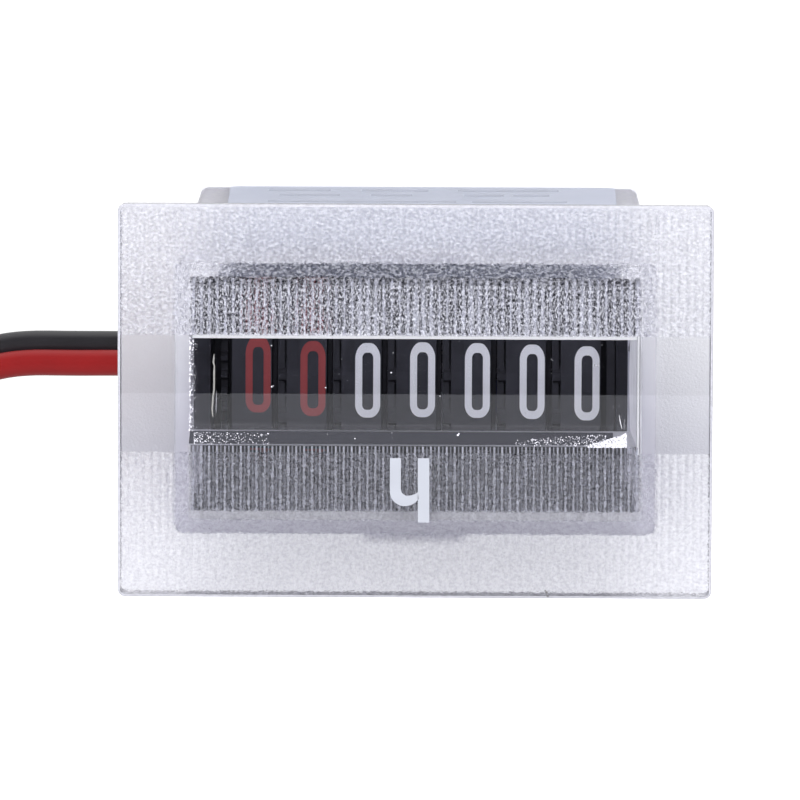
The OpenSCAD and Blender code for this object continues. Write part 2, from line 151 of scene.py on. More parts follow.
def bump(nt, height, distance, strength=1.0):
    n = nt.nodes.new("ShaderNodeBump")
    n.inputs["Distance"].default_value = distance
    if isinstance(strength, (int, float)):
        n.inputs["Strength"].default_value = strength
    else:
        nt.links.new(strength, n.inputs["Strength"])
    nt.links.new(height, n.inputs["Height"])
    return n.outputs["Normal"]


def plain(name, color, rough, metallic=0.0, vary=0.12, scale=600.0, grain=9000.0, depth=2e-6, spec=0.5, coat=0.0):
    """A moulded or metal surface: a slow change of colour and roughness, and a fine bump."""
    m, nt, b, out = nodes_of(name)
    slow = noise(nt, scale, 3)
    dark = tuple(c * (1 - vary) for c in color)
    light = tuple(min(1, c * (1 + vary)) for c in color)
    nt.links.new(mixed(nt, ramp(nt, slow.outputs["Fac"], 0.3, 0.7), dark, light), b.inputs["Base Color"])
    nt.links.new(ramp(nt, slow.outputs["Fac"], 0.25, 0.75, rough * 0.85, min(1, rough * 1.15)), b.inputs["Roughness"])
    b.inputs["Metallic"].default_value = metallic
    b.inputs["Specular IOR Level"].default_value = spec
    b.inputs["Coat Weight"].default_value = coat
    if depth:
        fine = noise(nt, grain, 2)
        nt.links.new(bump(nt, fine.outputs["Fac"], depth), b.inputs["Normal"])
    return m


def brushed(name, color, rough, stretch, vary=0.08):
    m, nt, b, out = nodes_of(name)
    lines = noise(nt, 3000, 4, 0.6, stretch)
    dark = tuple(c * (1 - vary) for c in color)
    nt.links.new(mixed(nt, lines.outputs["Fac"], dark, color), b.inputs["Base Color"])
    nt.links.new(ramp(nt, lines.outputs["Fac"], 0.3, 0.7, rough * 0.8, rough * 1.25), b.inputs["Roughness"])
    nt.links.new(bump(nt, lines.outputs["Fac"], 1.5e-6), b.inputs["Normal"])
    b.inputs["Metallic"].default_value = 1.0
    return m


def let_light_in(nt, b, out):
    """Lamps shine straight through the clear plastic, so that what it holds is lit."""
    path = nt.nodes.new("ShaderNodeLightPath")
    clear = nt.nodes.new("ShaderNodeBsdfTransparent")
    mix = nt.nodes.new("ShaderNodeMixShader")
    nt.links.new(path.outputs["Is Shadow Ray"], mix.inputs["Fac"])
    nt.links.new(b.outputs[0], mix.inputs[1])
    nt.links.new(clear.outputs[0], mix.inputs[2])
    nt.links.new(mix.outputs[0], out.inputs["Surface"])


TINT = (0.86, 0.86, 0.92)
PALE = (0.93, 0.93, 0.96)
BAND_LO, BAND_HI = -3.1, 4.03  # the polished band across the front


def clear_plastic(name, rough, tint=TINT):
    m, nt, b, out = nodes_of(name)
    b.inputs["Base Color"].default_value = (*tint, 1)
    b.inputs["Roughness"].default_value = rough
    b.inputs["IOR"].default_value = 1.585
    b.inputs["Transmission Weight"].default_value = 1.0
    let_light_in(nt, b, out)
    return m, nt, b, out


def front_plastic():
    """The bezel's front: fine spark-eroded grain but for the polished band."""
    m, nt, b, out = clear_plastic("clear_front", 0.0)
    tc = nt.nodes.new("ShaderNodeTexCoord")
    sep = nt.nodes.new("ShaderNodeSeparateXYZ")
    nt.links.new(tc.outputs["Object"], sep.inputs[0])
    above = math_node(nt, "GREATER_THAN", sep.outputs["Z"], BAND_HI * MM)
    below = math_node(nt, "LESS_THAN", sep.outputs["Z"], BAND_LO * MM)
    grained = math_node(nt, "ADD", above, below)
    fine = noise(nt, 4300, 3, 0.6)
    nt.links.new(bump(nt, fine.outputs["Fac"], 3.5e-5, grained), b.inputs["Normal"])
    fleck = noise(nt, 5600, 2, 0.6, (0.85, 1, 1.1))
    shade = math_node(nt, "MULTIPLY", ramp(nt, fleck.outputs["Fac"], 0.6, 0.36), grained)
    nt.links.new(mixed(nt, shade, (0.87, 0.88, 0.96), (0.58, 0.58, 0.67)), b.inputs["Base Color"])
    # the crests scatter the light that falls on them, above the band more than below; over the ribs they run upright
    wide = noise(nt, 6100, 2, 0.6, (0.8, 1, 1.15))
    tall = noise(nt, 9500, 2, 0.6, (1.0, 1, 0.55))
    inside = math_node(nt, "MULTIPLY", math_node(nt, "LESS_THAN", math_node(nt, "ABSOLUTE", sep.outputs["X"]), 0.0136), math_node(nt, "LESS_THAN", sep.outputs["Z"], 0.0071))
    crest = math_node(nt, "ADD", math_node(nt, "MULTIPLY", tall.outputs["Fac"], inside), math_node(nt, "MULTIPLY", wide.outputs["Fac"], math_node(nt, "SUBTRACT", 1.0, inside)))
    over_ribs = math_node(nt, "MULTIPLY", math_node(nt, "MULTIPLY", above, inside), 0.2)
    amount = math_node(nt, "ADD", math_node(nt, "ADD", math_node(nt, "MULTIPLY", above, 0.25), over_ribs), math_node(nt, "MULTIPLY", below, 0.12))
    scatter = math_node(nt, "MULTIPLY", ramp(nt, crest, 0.43, 0.63), amount)
    nt.links.new(math_node(nt, "SUBTRACT", 1.0, scatter), b.inputs["Transmission Weight"])
    return m


def lens_plastic():
    """The lens surface, with hardly any mirror image of what lies in front."""
    m, nt, b, out = clear_plastic("clear_lens", 0.0)
    b.inputs["Specular IOR Level"].default_value = 0.1
    return m


def satin_plastic():
    m, nt, b, out = clear_plastic("clear_satin", 0.5, PALE)
    tc = nt.nodes.new("ShaderNodeTexCoord")
    sep = nt.nodes.new("ShaderNodeSeparateXYZ")
    nt.links.new(tc.outputs["Object"], sep.inputs[0])
    # painted shade: above z -3.28 mm the tint is darker towards the bottom, where less light shows through the plate
    painted_shade_down = ramp(nt, sep.outputs["Z"], 0.0035, -0.003)
    stop_ = math_node(nt, "GREATER_THAN", sep.outputs["Z"], -0.00328)
    nt.links.new(mixed(nt, math_node(nt, "MULTIPLY", painted_shade_down, stop_), PALE, (0.5, 0.5, 0.56)), b.inputs["Base Color"])
    fine = noise(nt, 6000, 3, 0.6)
    nt.links.new(bump(nt, fine.outputs["Fac"], 3e-5), b.inputs["Normal"])
    return m


def milky():
    """The outside of the body's walls: rough clear plastic that scatters much of the light, with painted shade that
    darkens the walls towards the bottom.
    """
    m, nt, b, out = clear_plastic("clear_wall", 0.55, PALE)
    soft = nt.nodes.new("ShaderNodeBsdfTranslucent")
    slow = noise(nt, 2500, 3, 0.6)
    tc = nt.nodes.new("ShaderNodeTexCoord")
    sep = nt.nodes.new("ShaderNodeSeparateXYZ")
    nt.links.new(tc.outputs["Object"], sep.inputs[0])
    # painted shade: from z 3 mm down to z -4 mm the scattered and tinted colours darken
    low = ramp(nt, sep.outputs["Z"], 0.003, -0.004)
    upper = mixed(nt, ramp(nt, slow.outputs["Fac"], 0.35, 0.65), (0.82, 0.82, 0.9), (0.97, 0.97, 1.0))
    nt.links.new(mixed(nt, low, upper, (0.58, 0.57, 0.66)), soft.inputs["Color"])
    nt.links.new(mixed(nt, low, PALE, (0.66, 0.65, 0.73)), b.inputs["Base Color"])
    nt.links.new(bump(nt, slow.outputs["Fac"], 2e-5), b.inputs["Normal"])
    mix = nt.nodes.new("ShaderNodeMixShader")
    mix.inputs["Fac"].default_value = 0.5
    last = out.inputs["Surface"].links[0].from_socket
    nt.links.new(last, mix.inputs[1])
    nt.links.new(soft.outputs[0], mix.inputs[2])
    nt.links.new(mix.outputs[0], out.inputs["Surface"])
    return m


def frosted(name, tint, passes, streak=None, vary=0.1):
    """A matt face of the clear moulding, which lets the light behind it through softly; with near-white or dark colours
    it also serves for painted highlights and painted shade.
    """
    m, nt, b, out = nodes_of(name)
    lines = noise(nt, 5000, 3, 0.6, streak)
    color = mixed(nt, ramp(nt, lines.outputs["Fac"], 0.35, 0.65), tuple(c * (1 - vary) for c in tint), tint)
    nt.links.new(color, b.inputs["Base Color"])
    b.inputs["Roughness"].default_value = 0.6
    soft = nt.nodes.new("ShaderNodeBsdfTranslucent")
    nt.links.new(color, soft.inputs["Color"])
    mix = nt.nodes.new("ShaderNodeMixShader")
    mix.inputs["Fac"].default_value = passes
    nt.links.new(b.outputs[0], mix.inputs[1])
    nt.links.new(soft.outputs[0], mix.inputs[2])
    nt.links.new(mix.outputs[0], out.inputs["Surface"])
    return m


M = {
    "front": front_plastic(),
    "frost": frosted("clear_frosted", (0.95, 0.95, 0.98), 0.9),
    # painted highlight: a near-white matt colour on the lens bar's top face stands in for the bright glint along its
    # top edge
    "glint_white": frosted("clear_top_painted_glint", (0.99, 0.99, 1.0), 0.05, None, 0.03),
    # painted highlight and painted shade: light slopes for the glint in the deep grooves, grey for the fainter glint in
    # the shallow ones below the bar, near black for the dark reflection in the shallow ones above it
    "groove": frosted("clear_groove_painted_glint", (0.86, 0.87, 0.97), 0.3, (1, 1, 0.5), 0.4),
    "groove_low_painted_glint": frosted("clear_groove_low_painted_glint", (0.46, 0.47, 0.54), 0.3, (1, 1, 0.5), 0.5),
    "groove_painted_dark": frosted("clear_groove_painted_dark", (0.03, 0.03, 0.04), 0.3, (1, 1, 0.4), 0.6),
    "edge": frosted("clear_edge", (0.62, 0.62, 0.68), 0.3, (1, 1, 1), 0.2),
    "frost_end": frosted("clear_end", (0.98, 0.98, 1.0), 0.7, (1, 1, 0.12), 0.25),
    # painted shade: a dark coat on the lens bar's underside stands in for the dark band that shows below the window
    "dark_coat": plain("dark_coat_painted_shade", (0.045, 0.046, 0.06), 0.7, vary=0.25, scale=4000, depth=2e-6, spec=0.1),
    "band": plain("wheel_band", (0.052, 0.052, 0.062), 0.6, vary=0.12, depth=1e-6, spec=0.12),
    "speck": plain("speck_white", (0.72, 0.72, 0.78), 0.7, vary=0.1, depth=1e-6),
    "speck_grey": plain("speck_grey", (0.3, 0.3, 0.34), 0.7, vary=0.2, depth=1e-6),
    # painted highlight: a pale line on the front stands in for the glint on the counter frame's edge at the window's
    # left end
    "fibre": plain("pale_line_painted_glint", (0.24, 0.235, 0.225), 0.7, vary=0.15, scale=5000, depth=1e-6),
    "mark": plain("mark_grey", (0.12, 0.115, 0.12), 0.7, vary=0.2, depth=1e-6),
    "satin": satin_plastic(),
    "wall": milky(),
    "clear": clear_plastic("clear_polished", 0.0, PALE)[0],
    "lens": lens_plastic(),
    "print": plain("print_white", (0.37, 0.385, 0.43), 0.55, vary=0.03, depth=1e-6),
    "figures": plain("figures_white", (0.94, 0.95, 1.0), 0.6, vary=0.03, depth=1e-6, spec=0.15),
    "figures_red": plain("figures_red", (0.36, 0.08, 0.082), 0.6, vary=0.06, depth=1e-6, spec=0.15),
    "wheel": plain("wheel_black", (0.047, 0.047, 0.056), 0.6, vary=0.2, depth=1.5e-6, spec=0.12),
    "frame": plain("frame_black", (0.028, 0.028, 0.034), 0.6, vary=0.2, depth=2.5e-6, spec=0.15),
    "acetal": plain("acetal_white", (0.74, 0.73, 0.68), 0.35, vary=0.04),
    "steel": brushed("steel_bright", (0.72, 0.72, 0.74), 0.25, (0.05, 1, 1)),
    "sheet": brushed("sheet_plain", (0.5, 0.5, 0.52), 0.4, (1, 0.05, 1)),
    "magnet": plain("magnet_dark", (0.05, 0.05, 0.055), 0.5, vary=0.2),
    "brass": brushed("brass_turned", (0.78, 0.58, 0.25), 0.25, (0.05, 1, 1)),
    "bobbin": plain("bobbin_natural", (0.72, 0.68, 0.55), 0.45, vary=0.05),
    "component": plain("component_black", (0.02, 0.02, 0.022), 0.45, vary=0.2),
    "can": brushed("can_tinned", (0.75, 0.75, 0.77), 0.2, (1, 0.1, 0.1)),
    "solder": brushed("solder_tin", (0.7, 0.7, 0.72), 0.25, (1, 1, 1)),
    "cover": plain("cover_plastic", (0.66, 0.66, 0.72), 0.45, vary=0.05, depth=3e-6),
    "lead_red": plain("lead_red", (0.2, 0.006, 0.007), 0.45, vary=0.08, scale=350, depth=1.5e-6, spec=0.2),
    "lead_black": plain("lead_black", (0.016, 0.015, 0.018), 0.4, vary=0.15, scale=350, depth=1.5e-6, spec=0.35),
}


def label_film():
    m, nt, b, out = nodes_of("label_film")
    slow = noise(nt, 300, 3)
    nt.links.new(mixed(nt, ramp(nt, slow.outputs["Fac"], 0.3, 0.7), (0.46, 0.49, 0.59), (0.52, 0.55, 0.65)), b.inputs["Base Color"])
    b.inputs["Roughness"].default_value = 0.42
    fibre = noise(nt, 5000, 3, 0.6, (1, 0.3, 1))
    nt.links.new(bump(nt, fibre.outputs["Fac"], 2e-6), b.inputs["Normal"])
    soft = nt.nodes.new("ShaderNodeBsdfTranslucent")
    soft.inputs["Color"].default_value = (0.85, 0.87, 0.93, 1)
    mix = nt.nodes.new("ShaderNodeMixShader")
    mix.inputs["Fac"].default_value = 0.4
    nt.links.new(b.outputs[0], mix.inputs[1])
    nt.links.new(soft.outputs[0], mix.inputs[2])
    nt.links.new(mix.outputs[0], out.inputs["Surface"])
    return m


def winding():
    """Fine enamelled wire, turn by turn."""
    m, nt, b, out = nodes_of("winding_copper")
    tc = nt.nodes.new("ShaderNodeTexCoord")
    wave = nt.nodes.new("ShaderNodeTexWave")
    wave.wave_type = "BANDS"
    wave.bands_direction = "Y"
    wave.inputs["Scale"].default_value = 2600
    wave.inputs["Distortion"].default_value = 0.6
    nt.links.new(tc.outputs["Object"], wave.inputs["Vector"])
    nt.links.new(mixed(nt, wave.outputs["Fac"], (0.22, 0.06, 0.02), (0.62, 0.24, 0.09)), b.inputs["Base Color"])
    nt.links.new(bump(nt, wave.outputs["Fac"], 2e-5), b.inputs["Normal"])
    b.inputs["Metallic"].default_value = 0.8
    b.inputs["Roughness"].default_value = 0.3
    return m


def board():
    """Green solder mask with tracks showing as a slightly lighter relief."""
    m, nt, b, out = nodes_of("board_green")
    tc = nt.nodes.new("ShaderNodeTexCoord")
    mp = nt.nodes.new("ShaderNodeMapping")
    mp.inputs["Rotation"].default_value = (0, 0, math.radians(45))
    nt.links.new(tc.outputs["Object"], mp.inputs["Vector"])
    brick = nt.nodes.new("ShaderNodeTexBrick")
    brick.inputs["Scale"].default_value = 260
    brick.inputs["Mortar Size"].default_value = 0.03
    brick.inputs["Color1"].default_value = (0, 0, 0, 1)
    brick.inputs["Color2"].default_value = (0.4, 0.4, 0.4, 1)
    brick.inputs["Mortar"].default_value = (1, 1, 1, 1)
    nt.links.new(mp.outputs["Vector"], brick.inputs["Vector"])
    nt.links.new(mixed(nt, brick.outputs["Color"], (0.015, 0.12, 0.05), (0.04, 0.26, 0.12)), b.inputs["Base Color"])
    nt.links.new(bump(nt, brick.outputs["Color"], 3e-5), b.inputs["Normal"])
    b.inputs["Roughness"].default_value = 0.3
    return m


M["label"] = label_film()
M["winding"] = winding()
M["board"] = board()
M["sleeve"] = plain("sleeve_blue", (0.02, 0.03, 0.12), 0.3, vary=0.1)
M["grey_print"] = plain("grey_print", (0.27, 0.29, 0.36), 0.6, vary=0.1)

CAD_MATERIAL = {
    "counter_frame": "frame",
    "wheel_shaft": "steel",
    "pinion_shaft": "steel",
    "train_studs": "steel",
    "first_wheel": "acetal",
    "second_wheel": "acetal",
    "rotor_magnet": "magnet",
    "rotor_pinion": "brass",
    "rotor_shaft": "steel",
    "stator": "sheet",
    "coil_core": "sheet",
    "coil_bobbin": "bobbin",
    "coil_winding": "winding",
    "motor_bridge": "acetal",
    "bridge_screws": "steel",
    "circuit_board": "board",
    "driver_chip": "component",
    "quartz_crystal": "can",
    "capacitor": "sleeve",
    "rectifier_diode": "component",
    "resistors": "component",
    "rear_cover": "cover",
}
WHEELS = ["hundredths", "tenths", "ones", "tens", "hundreds", "thousands", "ten_thousands"]
for w in WHEELS:
    CAD_MATERIAL[w + "_wheel"] = "wheel"
for i in range(1, 7):
    CAD_MATERIAL[f"transfer_pinion_{i}"] = "acetal"
for node, key in CAD_MATERIAL.items():
    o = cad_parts[node]
    for s in o.material_slots:
        s.material = M[key]
    if not o.material_slots:
        o.data.materials.append(M[key])


# ------------------------------------------------------------------ mesh helpers
class Build:
    """Collects patches of faces, in millimetres, into one mesh."""

    def __init__(self):
        self.v, self.f, self.m, self.s = [], [], [], []

    def grid(self, rows, mat=0, out=None, closed=False, skip=None, smooth=False):
        """Quads between equal rows of points. out is the way the faces look: a vector, or a function of a face's middle."""
        base, n = len(self.v), len(rows[0])
        faces, total = [], 0.0
        for i in range(len(rows) - 1):
            for j in range(n if closed else n - 1):
                k = (j + 1) % n
                ids = (i * n + j, i * n + k, (i + 1) * n + k, (i + 1) * n + j)
                p = [Vector(rows[a // n][a % n]) for a in ids]
                mid = (p[0] + p[1] + p[2] + p[3]) / 4
                if skip and skip(mid):
                    continue
                normal = (p[2] - p[0]).cross(p[3] - p[1])
                if normal.length < 1e-12:
                    continue
                if out is not None:
                    total += normal.dot(Vector(out(mid) if callable(out) else out))
                faces.append(ids)
        for r in rows:
            self.v += [tuple(p) for p in r]
        for ids in faces:
            ids = tuple(base + a for a in ids)
            self.f.append(ids if total >= 0 else ids[::-1])
            self.m.append(mat)
            self.s.append(smooth)

    def poly(self, pts, mat=0, out=None):
        base = len(self.v)
        p = [Vector(q) for q in pts]
        normal = Vector()
        for a, b in zip(p, p[1:] + p[:1]):
            normal += a.cross(b)
        ids = tuple(range(base, base + len(p)))
        if out is not None and normal.dot(Vector(out)) < 0:
            ids = ids[::-1]
        self.v += [tuple(q) for q in pts]
        self.f.append(ids)
        self.m.append(mat)
        self.s.append(False)

    def object(self, name, mats, weld=1e-5, smooth=32):
        mesh = bpy.data.meshes.new(name)
        mesh.from_pydata([(a * MM, b * MM, c * MM) for a, b, c in self.v], [], self.f)
        for m in mats:
            mesh.materials.append(m)
        mesh.polygons.foreach_set("material_index", self.m)
        mesh.polygons.foreach_set("use_smooth", self.s)
        import bmesh

        bm = bmesh.new()
        bm.from_mesh(mesh)
        if weld:
            bmesh.ops.remove_doubles(bm, verts=bm.verts, dist=weld * MM)
        loose = [v for v in bm.verts if not v.link_faces]
        bmesh.ops.delete(bm, geom=loose, context="VERTS")
        bm.to_mesh(mesh)
        bm.free()
        flags = [p.use_smooth for p in mesh.polygons]
        mesh.set_sharp_from_angle(angle=math.radians(smooth))
        mesh.polygons.foreach_set("use_smooth", flags)
        o = bpy.data.objects.new(name, mesh)
        scene.collection.objects.link(o)
        return o


def rounded(hx, hz, r, n=8, left=(), right=()):
    """Points (x, z) of a rounded rectangle, anticlockwise seen with x right and z up; left and right are extra heights on the short sides."""
    pts = []
    for cx, cz, a0, side in ((hx - r, hz - r, 0, None), (-hx + r, hz - r, 90, "left"), (-hx + r, -hz + r, 180, None), (hx - r, -hz + r, 270, "right")):
        for k in range(n + 1):
            a = math.radians(a0 + 90 * k / n)
            pts.append((cx + r * math.cos(a), cz + r * math.sin(a)))
        if side == "left":
            pts += [(-hx, z) for z in sorted(left, reverse=True)]
        if side == "right":
            pts += [(hx, z) for z in sorted(right)]
    return pts


def ride(o, body="meter", replaces=()):
    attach(o, body)
    if replaces:
        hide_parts(*replaces)
    return o


# ------------------------------------------------------------------ leads
LEAD = 1.7
RED_ROUTE = [(-5.1, 34, -4.22), (-5.1, 36, -4.25), (-5.05, 38, -4.4), (-5, 40, -4.4),
             (-5, 42.2, -4.4), (-6.2, 44.7, -4.4), (-9, 45.8, -4.4), (-13, 46, -4.4),
             (-17.5, 46, -4.4), (-22, 46, -4.42), (-26, 46, -4.5), (-29, 46, -5.35),
             (-32, 46, -7.4), (-35, 46, -9.5), (-38, 46, -10.85), (-41, 46, -11.15), (-43.5, 46, -11.15)]
BLACK_ROUTE = [(-3.2, 34, -4.22), (-3.35, 35.6, -3.5), (-4.1, 37, -2.7), (-5, 38.9, -2.55),
               (-5, 42.2, -2.55), (-5.9, 45.3, -2.6), (-9, 47.1, -2.95), (-13, 47.45, -3.3),
               (-17.5, 47.5, -3.38), (-22, 47.5, -3.38), (-26, 47.5, -3.45), (-29, 47.45, -4.2),
               (-32, 47.35, -5.95), (-35, 47.1, -7.9), (-38, 46.7, -9.15), (-41, 46.25, -9.43), (-43.5, 46.1, -9.44)]
COIL = (-45.0, 36.4)


def spline(p, i, t):
    def at(k):
        return Vector(p[max(0, min(len(p) - 1, k))])

    a, b, c, d = at(i - 1), at(i), at(i + 1), at(i + 2)
    return 0.5 * (2 * b + (c - a) * t + (2 * a - 5 * b + 4 * c - d) * t * t + (3 * b - a - 3 * c + d) * t**3)


def lead_path(route, z):
    pts = [spline(route, i, k / 3) for i in range(len(route) - 1) for k in range(3)] + [Vector(route[-1])]
    turns = 2.0
    n = 64
    for k in range(1, n + 1):
        t = k / n * turns
        a = math.radians(90 + 360 * t - 4)
        step = min(1, max(0, (t - 0.75) / 0.4))
        r = 9.6 - LEAD * (step * step * (3 - 2 * step))
        if k == 1:
            continue
        pts.append(Vector((COIL[0] + r * math.cos(a), COIL[1] + r * math.sin(a), z)))
    return pts


def tube(name, pts, radius, mat, resolution=6):
    cu = bpy.data.curves.new(name, "CURVE")
    cu.dimensions = "3D"
    cu.bevel_depth = radius * MM
    cu.bevel_resolution = resolution
    cu.use_fill_caps = True
    sp = cu.splines.new("POLY")
    sp.points.add(len(pts) - 1)
    for q, p in zip(sp.points, pts):
        q.co = (p[0] * MM, p[1] * MM, p[2] * MM, 1)
    sp.use_smooth = True
    cu.materials.append(mat)
    o = bpy.data.objects.new(name, cu)
    scene.collection.objects.link(o)
    return o


def finer(pts, n):
    return [spline(pts, i, k / n) for i in range(len(pts) - 1) for k in range(n)] + [Vector(pts[-1])]


def make_lead(colour, route, z):
    path = finer(lead_path(route, z), 2)
    o = tube(colour + "_wire", path, LEAD / 2 - 0.005, M["lead_" + colour], 8)
    # the last turn's end is stripped, twisted and tinned
    end = path[-1]
    a0 = math.atan2(end.y - COIL[1], end.x - COIL[0])
    r = math.hypot(end.y - COIL[1], end.x - COIL[0])
    b = Build()
    rows = []
    strands = 10
    for i in range(29):
        a = a0 + (i * 0.2 - 0.6) / r
        mid = Vector((COIL[0] + r * math.cos(a), COIL[1] + r * math.sin(a), z))
        side = Vector((math.cos(a), math.sin(a), 0))
        ring = []
        for k in range(40):
            phi = 2 * math.pi * k / 40
            twist = strands * phi / 2 + i * 0.55
            rad = 0.43 * (1 + 0.07 * math.cos(twist)) * (1 if i < 27 else 0.8 - 0.3 * (i - 27))
            ring.append(mid + side * (rad * math.cos(phi)) + Vector((0, 0, rad * math.sin(phi))))
        rows.append(ring)
    centre = [Vector((COIL[0] + r * math.cos(a0), COIL[1] + r * math.sin(a0), z))]
    b.grid(rows, out=lambda m: (m.x - (COIL[0] + r * math.cos(math.atan2(m.y - COIL[1], m.x - COIL[0]))), m.y - (COIL[1] + r * math.sin(math.atan2(m.y - COIL[1], m.x - COIL[0]))), m.z - z), closed=True, smooth=True)
    b.poly(rows[-1], out=rows[-1][0] - rows[-2][0])
    tip = b.object(colour + "_wire_tip", [M["solder"]])
    ride(tip)
    ride(o, replaces=(colour + "_lead", colour + "_lead_coil"))
    return path


red_path = make_lead("red", RED_ROUTE, -11.15)
black_path = make_lead("black", BLACK_ROUTE, -9.45)

# ------------------------------------------------------------------ housing
BW, BH, BT, BR = 36.0, 24.0, 1.995, 0.45
BODY_W, BODY_H, LEN, WALL = 29.14, 16.54, 38.985, 0.85
SIDE, TOP = math.tan(math.radians(0.9)), math.tan(math.radians(0.5))
RIM = 0.5
BODY_R = 0.6
PLATE_DRAFT = math.tan(math.radians(5))


def out_x(y):
    return BODY_W / 2 - y * SIDE


def out_z(y):
    return BODY_H / 2 - y * TOP


def in_x(y):
    return out_x(y) - WALL


def in_z(y):
    return out_z(y) - WALL


BAR_LO, BAR_HI, BAR_D = -2.87, 3.86, 3.0
LO_SLOPE, HI_SLOPE = 0.68 / 3, 0.42 / 3
LENS_R, LENS_Z = 8.0, 1.1
LENS_Y = BAR_D - math.sqrt(LENS_R**2 - (BAR_LO + LO_SLOPE * BAR_D - LENS_Z) ** 2)


def bar_right(y):
    return 13.42 - 0.6 * y / 5


def arc_point(a):
    return LENS_Y + LENS_R * math.cos(a), LENS_Z + LENS_R * math.sin(a)


def meet(slope, z0):
    """Angle at which a tapered side z = z0 + slope y meets the lens surface."""
    a = 0.0
    for _ in range(60):
        y, _z = arc_point(a)
        a = math.asin(max(-1, min(1, (z0 + slope * y - LENS_Z) / LENS_R)))
    return a


A_LO, A_HI = meet(LO_SLOPE, BAR_LO), meet(-HI_SLOPE, BAR_HI)

PITCH = 0.48


def soft_profile(x0, x1):
    """Points (x, y) of the shallow rounded ribs on the bezel's back."""
    n = max(2, int((x1 - x0) / PITCH * 8))
    pts = []
    for i in range(n + 1):
        x = x0 + (x1 - x0) * i / n
        t = math.tau * x / PITCH
        pts.append((x, 0.0 if i in (0, n) else -0.012 + 0.009 * math.cos(t) + 0.003 * math.cos(2 * t)))
    return pts


def rib_profile(x0, x1, wide=0.04):
    """Points (x, y) of the ribbed back between x0 and x1: one sharp narrow groove and one shallow round one each pitch."""
    pts = [(x0, 0.0)]
    i = math.ceil(x0 / PITCH) - 1
    while i * PITCH < x1:
        c = i * PITCH
        mid = PITCH / 2
        shape = [(-0.056, 0), (0, -0.06), (0.056, 0), (mid - wide, 0), (mid, -0.034), (mid + wide, 0)]
        for dx, y in shape:
            x = c + dx
            if x0 + 1e-6 < x < x1 - 1e-6:
                pts.append((x, y))
        i += 1
    pts.append((x1, 0.0))
    return pts


def ribs(b, x0, x1, z0, z1, mat):
    upper = z0 > 0
    prof = soft_profile(x0, x1) if mat == SATIN else rib_profile(x0, x1, 0.075 if upper else 0.04)
    if mat == SATIN:
        b.grid([[(x, y, z) for x, y in prof] for z in (z0, z1)], mat, out=(0, 1, 0))
    else:  # the grooves' slopes are matt and coloured with painted light: light in the deep grooves as a painted highlight, grey in the shallow ones below the bar, near black in the shallow ones above it as painted shade
        for p, q in zip(prof, prof[1:]):
            deep = min(p[1], q[1])
            kind = mat if deep == 0 else (GROOVE_PAINTED_GLINT if deep < -0.05 else GROOVE_PAINTED_DARK if upper else GROOVE_LOW_PAINTED_GLINT)
            b.grid([[(x, y, z) for x, y in (p, q)] for z in (z0, z1)], kind, out=(0, 1, 0))
    for z, s in ((z0, 1), (z1, -1)):  # the grooves' ends
        b.grid([[(x, 0.0, z) for x, y in prof], [(x, y, z) for x, y in prof]], mat, out=(0, 0, s))


def flat(b, x0, x1, z0, z1, mat, y=0.0, out=(0, 1, 0)):
    b.grid([[(x0, y, z0), (x1, y, z0)], [(x0, y, z1), (x1, y, z1)]], mat, out=out)


def ring_strip(b, inner, outer, y, mat, out, skip=None):
    b.grid([[(x, y, z) for x, z in inner], [(x, y, z) for x, z in outer]], mat, out=out, closed=True, skip=skip)


def clamp_to(pts, x0, x1, z0, z1):
    """Each point moved onto the nearest side of the rectangle, corners to corners."""
    res = []
    for x, z in pts:
        res.append((max(x0, min(x1, x)), max(z0, min(z1, z))))
    return res


FRONT, SATIN, CLEAR, FROST, FROST_END, DARK_COAT_PAINTED_SHADE, LENS, OUTER, GLINT_WHITE, GROOVE_PAINTED_GLINT, GROOVE_LOW_PAINTED_GLINT, EDGE, GROOVE_PAINTED_DARK = range(13)
h = Build()
# the bezel plate: front, rounded edge, sides, back rim
edge = 0.16
loops = []
for k in range(6):
    a = math.radians(90 * k / 5)
    loops.append((-BT + edge - edge * math.cos(a), edge - edge * math.sin(a)))
loops += [(-1.2, 0), (-0.5, 0), (-0.05, 0), (-0.015, 0.015), (0.0, 0.05)]
rows = []
for y, inset in loops:
    inset += (y + BT) * PLATE_DRAFT
    rows.append([(x, y, z) for x, z in rounded(BW / 2 - inset, BH / 2 - inset, max(BR - inset, 0.1), 6)])
h.grid(rows[:6], EDGE, out=lambda m: (m.x / BW, -0.3, m.z / BH), closed=True, smooth=True)
h.grid(rows[5:], SATIN, out=lambda m: (m.x / BW, 0, m.z / BH), closed=True, smooth=True)
h.poly(rows[0], FRONT, out=(0, -1, 0))
gx, gz = BW / 2 - RIM, BH / 2 - RIM
outer = [(x, z) for x, y, z in rows[-1]]
ring_strip(h, clamp_to(outer, -gx, gx, -gz, gz), outer, 0.0, SATIN, (0, 1, 0))
bx, bz = out_x(0), out_z(0)
gap = 0.06
for x0, x1 in ((-gx, -bx - gap), (bx + gap, gx)):
    ribs(h, x0, x1, -gz, -3.28, SATIN)
    flat(h, x0, x1, -3.28, 3.85, SATIN)
    ribs(h, x0, x1, 3.85, gz, SATIN)
ribs(h, -bx - gap, bx + gap, bz + gap, gz, SATIN)
ribs(h, -bx - gap, bx + gap, -gz, -bz - gap, SATIN)
body_loop = rounded(bx, bz, BODY_R, 8)
ring_strip(h, body_loop, [(x + math.copysign(gap, x), z + math.copysign(gap, z)) if abs(abs(x) - bx) < 0.3 and abs(abs(z) - bz) < 0.3 else (x + (math.copysign(gap, x) if abs(abs(x) - bx) < 1e-6 else 0), z + (math.copysign(gap, z) if abs(abs(z) - bz) < 1e-6 else 0)) for x, z in body_loop], 0.0, SATIN, (0, 1, 0))
